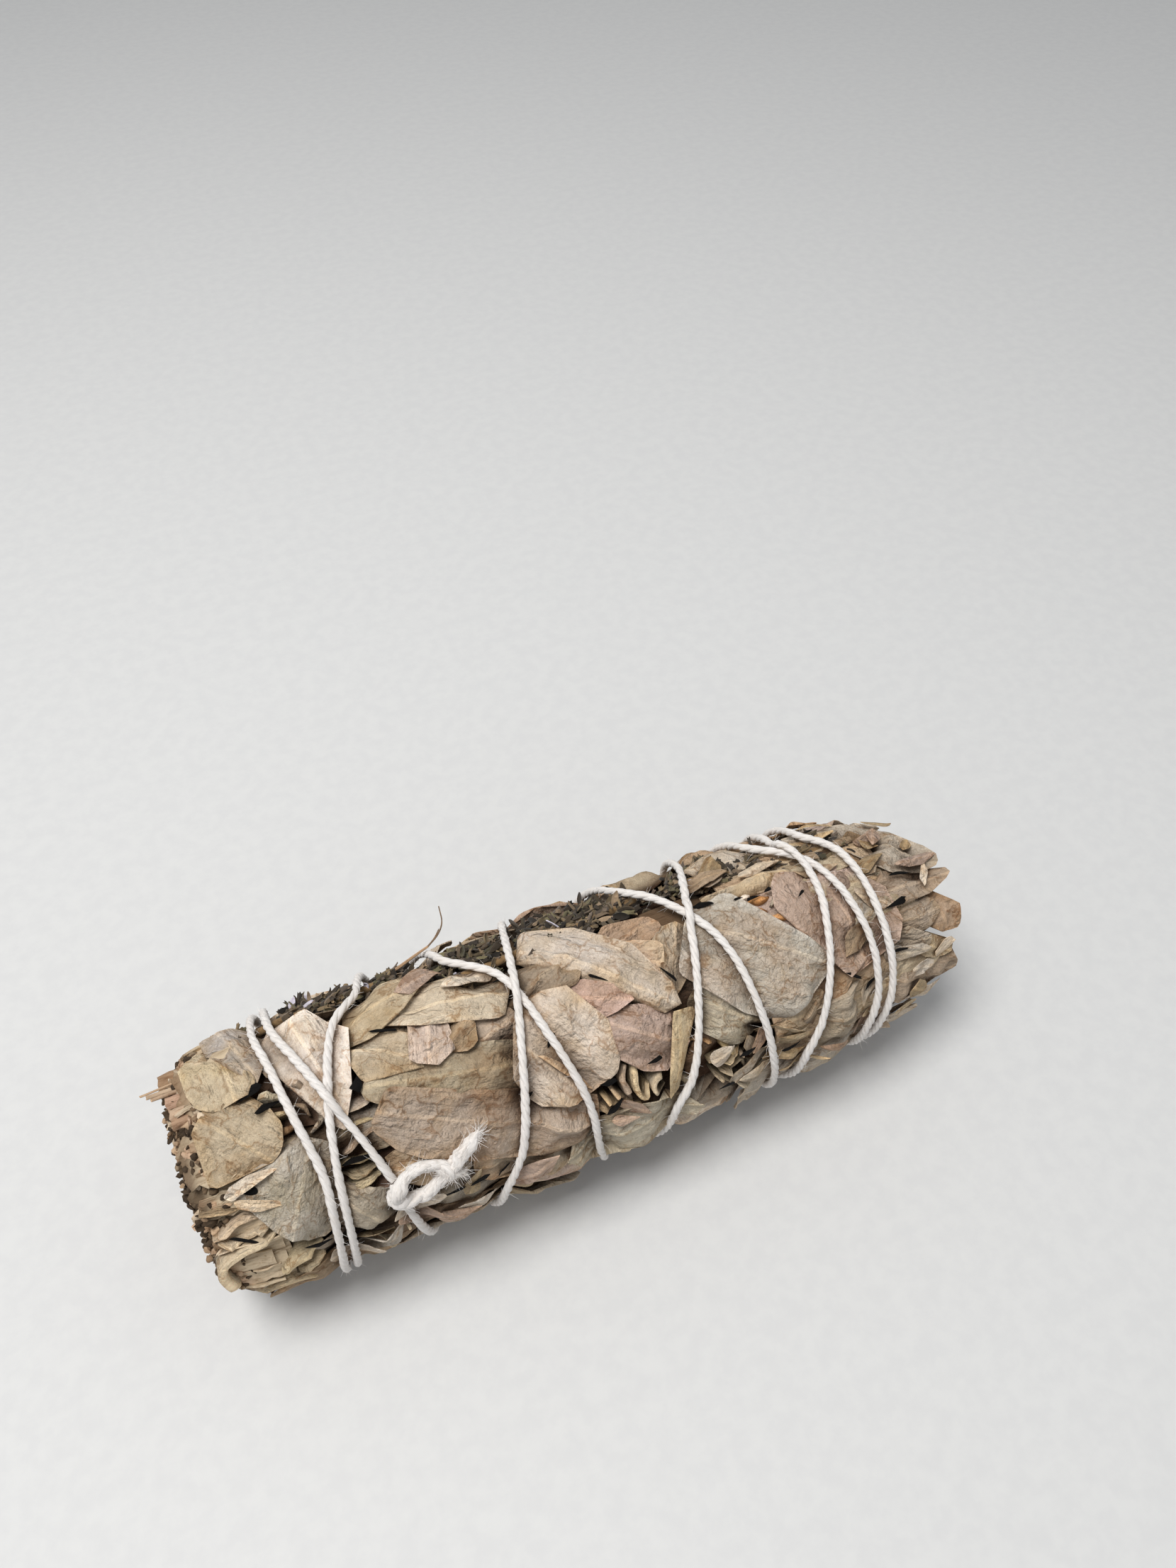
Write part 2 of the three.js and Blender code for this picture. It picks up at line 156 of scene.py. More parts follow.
class Piece:
    def __init__(self, name):
        self.name = name
        self.points = []
        self.triangles = []
        self.uvs = []
        self.tints = []
        self.kinds = []
        self.count = 0

    def add(self, points, triangles, tint, uv=None, kind=0):
        points = np.asarray(points, float)
        triangles = np.asarray(triangles, int)
        tint = np.broadcast_to(np.asarray(tint, float), (len(points), 4))
        if uv is None:
            uv = points[:, :2] + points[:, 2:]
        self.points.append(points)
        self.triangles.append(triangles + self.count)
        self.uvs.append(uv)
        self.tints.append(tint)
        self.kinds.append(np.full(len(triangles), kind))
        self.count += len(points)

    def make(self, materials):
        points = np.concatenate(self.points) * MM
        triangles = np.concatenate(self.triangles)
        mesh = bpy.data.meshes.new(self.name)
        mesh.from_pydata(points.tolist(), [], triangles.tolist())
        corners = triangles.ravel()
        uv_layer = mesh.uv_layers.new(name="UVMap")
        uv_layer.data.foreach_set("uv", np.concatenate(self.uvs)[corners].astype(np.float32).ravel())
        tint = mesh.color_attributes.new("tint", "FLOAT_COLOR", "POINT")
        tint.data.foreach_set("color", np.concatenate(self.tints).astype(np.float32).ravel())
        for material in materials:
            mesh.materials.append(material)
        mesh.polygons.foreach_set("material_index", np.concatenate(self.kinds).astype(np.int32))
        mesh.polygons.foreach_set("use_smooth", np.ones(len(triangles), bool))
        mesh.set_sharp_from_angle(angle=SHARP_EDGE)
        mesh.update()
        made = bpy.data.objects.new(self.name, mesh)
        bpy.context.scene.collection.objects.link(made)
        return made


LEAF_KIND = 0
STEM_KIND = 1
sprigs = [Piece(f"sage_leaves_{k + 1}") for k in range(SPRIG_COUNT)]


def sprig_at(angle):
    return sprigs[int(round(angle * SPRIG_COUNT / 360)) % SPRIG_COUNT]


def tinted(colour, vein=0.5):
    return np.append(linear(colour), vein)


def with_vein(colours, vein):
    """Tints from rows of colours, and how clearly the veins show."""
    return np.hstack([colours, np.full((len(colours), 1), vein)])


def pick(choices, rng):
    return choices[rng.integers(len(choices))]


def turned(flat, degrees):
    """Flat points turned about their origin."""
    lean = math.radians(degrees)
    return flat @ np.array([[math.cos(lean), math.sin(lean)], [-math.sin(lean), math.cos(lean)]])


def away_from_axis(angle):
    """The direction away from the bundle's axis at each angle."""
    return on_bundle(0 * angle, angle, 1.0) - on_bundle(0 * angle, angle, 0.0)


# Curves

def smooth_path(points, step):
    """Catmull-Rom through rows of points, sampled about every step."""
    points = np.asarray(points, float)
    ends = np.vstack([2 * points[0] - points[1], points, 2 * points[-1] - points[-2]])
    out = []
    for i in range(1, len(ends) - 2):
        a, b, c, d = ends[i - 1:i + 3]
        count = max(2, int(np.linalg.norm(c - b) / step))
        t = np.linspace(0, 1, count, endpoint=False)[:, None]
        out.append(0.5 * (2 * b + (c - a) * t + (2 * a - 5 * b + 4 * c - d) * t ** 2
                          + (3 * b - a - 3 * c + d) * t ** 3))
    return np.vstack(out + [points[-1:]])


def even_path(path, step):
    """The same path with points step apart."""
    gaps = np.linalg.norm(np.diff(path, axis=0), axis=1)
    run = np.concatenate([[0], np.cumsum(gaps)])
    at = np.linspace(0, run[-1], max(2, int(round(run[-1] / step)) + 1))
    return np.stack([np.interp(at, run, path[:, i]) for i in range(path.shape[1])], axis=1)


def closed_path(points, step):
    """A closed outline round the points with its corners cut, with points about step apart."""
    points = np.asarray(points, float)
    after = np.roll(points, -1, axis=0)
    points = np.stack([points * 0.88 + after * 0.12, points * 0.12 + after * 0.88], 1).reshape(-1, 2)
    return even_path(np.vstack([points, points[:1]]), step)[:-1]


def tangents(path):
    run = np.gradient(path, axis=0)
    return run / np.maximum(np.linalg.norm(run, axis=1, keepdims=True), 1e-9)


# Closed bodies from rows of outlines

def loft(rings):
    """Points and triangles of a closed body through rings of equally many points."""
    rows, count = rings.shape[:2]
    points = rings.reshape(-1, 3)
    i, j = np.meshgrid(np.arange(rows - 1), np.arange(count), indexing="ij")
    a = (i * count + j).ravel()
    b = (i * count + (j + 1) % count).ravel()
    c = b + count
    d = a + count
    middles = np.stack([rings[0].mean(0), rings[-1].mean(0)])
    ring = np.arange(count)
    after = (ring + 1) % count
    last = (rows - 1) * count
    first_middle = np.full(count, rows * count)
    triangles = [np.stack([a, c, b], 1), np.stack([a, d, c], 1), np.stack([ring, after, first_middle], 1),
                 np.stack([last + after, last + ring, first_middle + 1], 1)]
    return np.vstack([points, middles]), np.vstack(triangles)


def capped(uv):
    """A loft's texture places, with one more for the middle of each end."""
    return np.vstack([uv, uv[:1], uv[-1:]])


def tube_rings(path, radii, sides, lobes=0, twist=0.0, depth=0.0):
    """Rings round a path, set out from the direction away from the bundle's axis."""
    forward = tangents(path)
    outward = path - np.array([0, AXIS_Y, AXIS_HEIGHT])
    outward[:, 0] = 0
    side = outward - forward * np.sum(outward * forward, axis=1, keepdims=True)
    side /= np.maximum(np.linalg.norm(side, axis=1, keepdims=True), 1e-6)
    up = np.cross(forward, side)
    turn = np.linspace(0, 2 * math.pi, sides, endpoint=False)
    radii = np.broadcast_to(np.asarray(radii, float), (len(path),))[:, None]
    if lobes:
        run = np.arange(len(path))[:, None] * twist
        radii = radii * (1 - depth + depth * np.abs(np.cos(lobes / 2 * (turn[None, :] - run))) ** 0.7)
    else:
        radii = np.repeat(radii, sides, axis=1)
    across = (radii * np.cos(turn))[:, :, None] * side[:, None, :]
    along = (radii * np.sin(turn))[:, :, None] * up[:, None, :]
    return path[:, None, :] + across + along


def blade(rib, side, normal, half_widths, cup, columns, wrinkle, seed, thickness=LEAF_THICKNESS):
    """A closed leaf along a rib: rows along it and columns from edge to edge, cupped and wrinkled."""
    rows = len(rib)
    across = np.linspace(-1, 1, columns)
    width = np.broadcast_to(np.asarray(half_widths, float), (rows,))[:, None]
    offset = across[None, :] * width
    place = rib[:, None, :] + side[:, None, :] * offset[:, :, None]
    run = np.arange(rows)[:, None] * np.ones((1, columns))
    bump = noise(np.stack([run.ravel() / 2.2, offset.ravel() / 1.8], 1), seed)
    bump = bump.reshape(rows, columns) * wrinkle
    height = cup * across[None, :] ** 2 * width + bump
    thin = thickness * (1 - 0.45 * across[None, :] ** 4) / 2
    top = place + normal[:, None, :] * (height + thin)[:, :, None]
    bottom = place + normal[:, None, :] * (height - thin)[:, :, None]
    rings = np.concatenate([top, bottom[:, ::-1]], axis=1)
    points, triangles = loft(rings)
    flat = np.stack([run, offset], axis=2)
    uv = np.concatenate([flat, flat[:, ::-1]], axis=1).reshape(-1, 2)
    return points, triangles, capped(uv)


# The string's centre line

def winding():
    points = [(distance, angle - 360 * turn)
              for turn, strand in enumerate(STRANDS) for distance, angle in strand]
    distance, angle = np.array(points, float).T
    slope = np.empty(len(points))
    slope[1:-1] = (distance[2:] - distance[:-2]) / (angle[2:] - angle[:-2])
    slope[0] = (distance[1] - distance[0]) / (angle[1] - angle[0])
    slope[-1] = (distance[-1] - distance[-2]) / (angle[-1] - angle[-2])
    step = math.degrees(STRING_STEP / RADIUS)
    at = np.arange(angle[0], angle[-1], -step)
    i = np.clip(np.searchsorted(-angle, -at, side="right") - 1, 0, len(points) - 2)
    span = angle[i + 1] - angle[i]
    t = (at - angle[i]) / span
    along = ((2 * t ** 3 - 3 * t ** 2 + 1) * distance[i] + (t ** 3 - 2 * t ** 2 + t) * span * slope[i]
             + (3 * t ** 2 - 2 * t ** 3) * distance[i + 1] + (t ** 3 - t ** 2) * span * slope[i + 1])
    return along, at


def string_centre_line():
    """The centre line, with each later strand lifted over the earlier ones that it crosses."""
    along, angle = winding()
    half_turn = int(180 / abs(angle[1] - angle[0]))
    lift = np.zeros(len(along))
    for i in range(half_turn, len(along)):
        earlier = slice(0, i - half_turn)
        around = np.abs((angle[i] - angle[earlier] + 180) % 360 - 180)
        gap = np.hypot(np.radians(around) * RADIUS, along[i] - along[earlier])
        if len(gap):
            lift[i] = CROSSING_LIFT * max(0.0, 1 - (gap.min() / CROSSING_REACH) ** 2)
    radius = bundle_radius(along) + lift
    centre = on_bundle(along, angle, radius)
    centre[:, 2] = np.maximum(centre[:, 2], LOWEST_STRING_CENTRE)
    return centre, along, angle


# Height maps: the surface that outer leaves aim for, and the ceiling that the next leaf
# must stay under

MAP_X = np.arange(MAP_LOW, MAP_HIGH + MAP_STEP / 2, MAP_STEP)
MAP_T = np.arange(360.0)


def map_noise(wavelength, seed):
    """Noise over the surface that closes on itself round the bundle."""
    x, t = np.meshgrid(MAP_X, np.radians(MAP_T), indexing="ij")
    points = np.stack([x, RADIUS * np.cos(t), RADIUS * np.sin(t)], axis=2).reshape(-1, 3) / wavelength
    return noise(points, seed).reshape(x.shape)


def first_surface():
    surface = bundle_radius(MAP_X)[:, None] + BULGE * np.ones((1, 360))
    surface += 0.55 * map_noise(13, 5) + 0.25 * map_noise(6, 6)
    return surface


def first_ceiling(centre, along, angle):
    ceiling = np.full((len(MAP_X), 360), RADIUS * 2.0)
    down = -np.sin(np.radians(MAP_T))
    table = np.where(down > 0.05, (AXIS_HEIGHT - TABLE_CLEARANCE) / np.maximum(down, 0.05), 99.0)
    ceiling = np.minimum(ceiling, table[None, :])
    radius = np.hypot(centre[:, 1] - AXIS_Y, centre[:, 2] - AXIS_HEIGHT)
    reach = STRING_RADIUS + 0.15
    for x, t, r in zip(along, angle, radius):
        columns = np.arange(int((x - reach - MAP_LOW) / MAP_STEP), int((x + reach - MAP_LOW) / MAP_STEP) + 2)
        rows = np.arange(int(t - reach / ARC), int(t + reach / ARC) + 2)
        gap = np.hypot(MAP_X[columns][:, None] - x, (rows[None, :] - t) * ARC)
        under = np.where(gap < reach, r - np.sqrt(np.maximum(reach ** 2 - gap ** 2, 0)), 99.0)
        place = np.ix_(columns, rows % 360)
        ceiling[place] = np.minimum(ceiling[place], under)
    return ceiling


def read_map(values, x, t):
    column = np.clip((x - MAP_LOW) / MAP_STEP, 0, len(MAP_X) - 1.001)
    i = column.astype(int)
    low = np.floor(t)
    j = low.astype(int) % 360
    k = (j + 1) % 360
    a = column - i
    b = t - low
    return ((1 - a) * ((1 - b) * values[i, j] + b * values[i, k])
            + a * ((1 - b) * values[i + 1, j] + b * values[i + 1, k]))


class Window:
    """The part of the maps round a leaf, with the angle running on past 360."""

    def __init__(self, low, high, margin):
        first = max(0, int((low[0] - margin - MAP_LOW) / MAP_STEP))
        last = min(len(MAP_X), int((high[0] + margin - MAP_LOW) / MAP_STEP) + 2)
        self.columns = np.arange(first, last)
        self.rows = np.arange(int(math.floor((low[1] - margin) / ARC)), int((high[1] + margin) / ARC) + 2)
        self.place = np.ix_(self.columns, self.rows % 360)
        x, t = np.meshgrid(MAP_X[self.columns], self.rows.astype(float), indexing="ij")
        self.flat = np.stack([x.ravel(), t.ravel() * ARC], 1)
        self.shape = x.shape

    def read(self, values, flat):
        """Reads a map cut to this window at flat places."""
        i = np.clip((flat[:, 0] - MAP_X[self.columns[0]]) / MAP_STEP, 0, self.shape[0] - 1.001)
        j = np.clip(flat[:, 1] / ARC - self.rows[0], 0, self.shape[1] - 1.001)
        a = i - np.floor(i)
        b = j - np.floor(j)
        i = i.astype(int)
        j = j.astype(int)
        return ((1 - a) * ((1 - b) * values[i, j] + b * values[i, j + 1])
                + a * ((1 - b) * values[i + 1, j] + b * values[i + 1, j + 1]))


def shifted(values, axis):
    padded = np.pad(values, [(1, 1) if a == axis else (0, 0) for a in (0, 1)], mode="edge")
    if axis == 0:
        return padded[:-2], padded[2:]
    return padded[:, :-2], padded[:, 2:]


def lowest_within(values, reach):
    for axis, step in ((0, MAP_STEP), (1, ARC)):
        for _ in range(int(round(reach / step))):
            before, after = shifted(values, axis)
            values = np.minimum(values, np.minimum(before, after))
    return values


def smoothed(values, reach):
    for axis, step in ((0, MAP_STEP), (1, ARC)):
        for _ in range(int(round(1.6 * (reach / step) ** 1.5))):
            before, after = shifted(values, axis)
            values = 0.5 * values + 0.25 * (before + after)
    return values


string_centre, string_along, string_angle = string_centre_line()
SURFACE = first_surface()
CEILING = first_ceiling(string_centre, string_along, string_angle)


# Outlines on the flattened surface

def inside(flat, outline):
    ax, ay = outline[:, 0], outline[:, 1]
    bx, by = np.roll(ax, -1), np.roll(ay, -1)
    x, y = flat[:, 0][:, None], flat[:, 1][:, None]
    spans = (ay[None, :] > y) != (by[None, :] > y)
    slope = np.where(by == ay, 1e-9, by - ay)
    cross = x < ax + (bx - ax) * (y - ay) / slope
    return np.sum(spans & cross, axis=1) % 2 == 1


def edge_distance(flat, outline):
    start = outline
    run = np.roll(outline, -1, axis=0) - start
    length = np.maximum(np.sum(run ** 2, axis=1), 1e-9)
    best = np.full(len(flat), 1e9)
    for chunk in range(0, len(start), 40):
        part = slice(chunk, chunk + 40)
        rel = flat[:, None, :] - start[None, part]
        t = np.clip(np.sum(rel * run[None, part], axis=2) / length[part], 0, 1)
        gap = np.linalg.norm(rel - t[:, :, None] * run[None, part], axis=2)
        best = np.minimum(best, gap.min(axis=1))
    return best


def outward(outline):
    """The directions away from a closed outline's inside."""
    run = np.roll(outline, -1, axis=0) - np.roll(outline, 1, axis=0)
    run /= np.maximum(np.linalg.norm(run, axis=1, keepdims=True), 1e-9)
    after = np.roll(outline, -1, axis=0)
    area = np.sum(outline[:, 0] * after[:, 1] - outline[:, 1] * after[:, 0])
    return np.stack([run[:, 1], -run[:, 0]], 1) * math.copysign(1, area)


def jagged(outline, amount, rng):
    """The outline with straight, uneven sides, as dry leaf breaks, and a few deep bites."""
    closed = np.vstack([outline, outline[:1]])
    around = np.linalg.norm(np.diff(closed, axis=0), axis=1).sum()
    corners = even_path(closed, min(rng.uniform(1.5, 2.4), around / 12))[:-1]
    push = amount * rng.normal(size=len(corners))
    push[rng.random(len(corners)) < 0.08] -= 2.6 * amount
    return corners + outward(corners) * push[:, None]


def torn(outline, amount, seed):
    """The outline with small notches all along it."""
    wave = noise(outline / 1.9, seed) + 0.7 * noise(outline / 0.9, seed + 1)
    return outline + outward(outline) * (amount * wave)[:, None]


def triangulated(outline, spacing, rng):
    low, high = outline.min(0), outline.max(0)
    rows = np.arange(low[1], high[1], spacing * 0.866)
    columns = np.arange(low[0], high[0], spacing)
    x, y = np.meshgrid(columns, rows)
    x = x + (np.arange(len(rows)) % 2)[:, None] * spacing / 2
    flat = np.stack([x.ravel(), y.ravel()], 1) + rng.uniform(-0.14, 0.14, (x.size, 2)) * spacing
    flat = flat[inside(flat, outline)]
    if len(flat):
        flat = flat[edge_distance(flat, outline) > 0.55 * spacing]
    flat = np.vstack([outline, flat])
    ring = list(range(len(outline)))
    joined = delaunay_2d_cdt([Vector(p) for p in flat.tolist()], [], [ring], 1, 1e-4, False)
    flat = np.array([tuple(v) for v in joined[0]])
    faces = np.array([f for f in joined[2] if len(f) == 3], int).reshape(-1, 3)
    a, b, c = flat[faces[:, 0]], flat[faces[:, 1]], flat[faces[:, 2]]
    turn = (b[:, 0] - a[:, 0]) * (c[:, 1] - a[:, 1]) - (b[:, 1] - a[:, 1]) * (c[:, 0] - a[:, 0])
    faces[turn < 0] = faces[turn < 0][:, ::-1]
    return flat, faces


def rim_edges(faces):
    edges = np.vstack([faces[:, [0, 1]], faces[:, [1, 2]], faces[:, [2, 0]]])
    key = np.sort(edges, axis=1)
    _, index, count = np.unique(key, axis=0, return_index=True, return_counts=True)
    return edges[index[count == 1]]


# Leaves laid on the bundle

WINDOW_MARGIN = 4.0
LEAF_STIFFNESS = 1.6


def lay_leaf(outline, tint, curl, wrinkle, spacing, seed, rib=None, second=None, depth=0.0, ridge=0.18,
             tear=0.7, vein=0.5, thickness=LEAF_THICKNESS, folds=(), gap=0.25, patch=0.5, grow=0.0):
    """Lays one leaf under everything laid before it, and lowers the ceiling to its underside.

    The outline and rib are (distance, angle) pairs. The second colour comes in as patches.
    A fold is a distance, an angle, the way it runs in degrees, and its height.
    """
    global CEILING
    rng = np.random.default_rng(seed + 9000)
    flat = np.asarray(outline, float) * (1, ARC)
    flat = closed_path(jagged(flat, tear, rng), spacing)
    flat = torn(flat + grow * outward(flat), 0.4 * tear, seed)
    if rib is None:
        far = flat[np.argmax(np.sum((flat - flat.mean(0)) ** 2, axis=1))]
        rib = (2 * flat.mean(0) - far, far)
    else:
        rib = np.asarray(rib, float) * (1, ARC)
    start = np.asarray(rib[0], float)
    forward = np.asarray(rib[1], float) - start
    length = np.linalg.norm(forward)
    forward = forward / length
    window = Window(flat.min(0), flat.max(0), WINDOW_MARGIN)
    allowed = np.minimum(SURFACE[window.place] - depth, CEILING[window.place] - LEAF_CLEARANCE)
    base = smoothed(lowest_within(allowed, LEAF_STIFFNESS), LEAF_STIFFNESS)
    roof = CEILING[window.place] - ROOF_CLEARANCE
    # Painted shade: where leaves laid earlier cover this one, blurred a little, so that this leaf is darkened just
    # outside their edges
    painted_edge_shade = smoothed((CEILING[window.place] < SURFACE[window.place] - 0.4).astype(float), 0.5)

    def local(places):
        rel = places - start
        return rel @ forward, rel @ np.array([-forward[1], forward[0]])

    def height(places, curled):
        along, across = local(places)
        edge = edge_distance(places, flat)
        value = window.read(base, places)
        value += ridge * np.exp(-(across / 0.7) ** 2) * np.clip(edge / 2, 0, 1)
        value += 0.5 * wrinkle * noise(np.stack([along / 8, across / 4], 1), seed + 2)
        value += 0.45 * wrinkle * noise(np.stack([along / 2.8, across / 1.5], 1), seed + 3)
        value += wrinkle * (2.4 * np.abs(noise(np.stack([along / 12, across / 3.6], 1), seed + 9)) - 1.0)
        value += wrinkle * (1.6 * np.abs(noise(np.stack([along / 5, across / 3], 1), seed + 10)) - 0.5)
        for x, t, lean, amount in folds:
            aside = turned(places - (x, t * ARC), -lean)[:, 1]
            value += amount * np.exp(-np.abs(aside) / 0.9)
        if curled:
            rise = 0.5 + 0.9 * noise(places / 5, seed + 4)
            value += curl * np.exp(-edge / 1.0) * (0.3 + rise)
        return value, edge, along, across

    places, faces = triangulated(flat, spacing, rng)
    if len(faces) == 0:
        return
    top, edge, along, across = height(places, True)
    top = np.minimum(top, window.read(roof, places))
    body = thickness * (0.45 + 0.55 * np.clip(edge / 1.2, 0, 1))
    angle = places[:, 1] / ARC
    points = np.vstack([on_bundle(places[:, 0], angle, radius) for radius in (top, top - body)])
    rim = rim_edges(faces)
    count = len(places)
    walls = np.vstack([np.stack([rim[:, 1], rim[:, 0], rim[:, 0] + count], 1),
                       np.stack([rim[:, 1], rim[:, 0] + count, rim[:, 1] + count], 1)])
    triangles = np.vstack([faces, faces[:, ::-1] + count, walls])
    colour = leaf_tint(places, edge, tint, second, seed, patch)
    # Painted shade along the edges of the leaves above, a little warmer than grey
    colour *= 1 - 0.55 * window.read(painted_edge_shade, places)[:, None] * np.array([0.88, 1.0, 1.1])
    # Painted shade: the deeper the leaf lies in a gap, the darker its colour
    colour *= 1 - 0.92 * sunk(places[:, 0], top)[:, None] * np.array([0.96, 1.0, 1.02])
    colour = with_vein(colour, vein)
    uv = np.stack([along + 31.0 * (seed % 97), across], 1)
    sprig_at(angle.mean()).add(points, triangles, np.vstack([colour, colour * (0.9, 0.9, 0.9, 1)]),
                               np.vstack([uv, uv]), LEAF_KIND)

    cells = inside(window.flat, flat)
    under = window.flat[cells]
    if len(under):
        value = height(under, False)[0]
        value = np.minimum(value, roof.ravel()[cells])
        new = CEILING[window.place].ravel()
        new[cells] = np.minimum(new[cells], value - thickness - gap)
        CEILING[window.place] = new.reshape(window.shape)


def sunk(distance, radius):
    """How deep a place lies in a gap between the leaves, from 0 to 1. Colours are darkened by it as painted shade."""
    return np.clip((bundle_radius(distance) + BULGE - radius - 1.4) / 2.6, 0, 1)


def leaf_tint(places, edge, tint, second, seed, patch):
    """Colour over a leaf: its own, a second one in patches, and browner towards the edge."""
    base = linear(tint)
    other = linear(second if second is not None else np.array(tint) * (0.93, 0.9, 0.86))
    blend = patch + 0.9 * noise(places / 6.5, seed + 5) + 0.35 * noise(places / 2.1, seed + 6) - 0.35
    colour = base[None, :] + (other - base)[None, :] * np.clip(blend, 0, 1)[:, None]
    shade = 1 + 0.07 * noise(places / 3.4, seed + 7) + 0.05 * noise(places / 1.3, seed + 8)
    worn = np.clip(1 - edge / 1.6, 0, 1)[:, None] * (seed * 0.618 % 1 * 2.6 - 0.8)
    rim = np.clip(1 - edge / 0.3, 0, 1)[:, None]
    colour = colour * shade[:, None]
    return colour * (1 - worn * (0.06, 0.1, 0.16)) * (1 + 0.16 * rim)


# The outer leaves that show, top one first: outline, colour and form of each

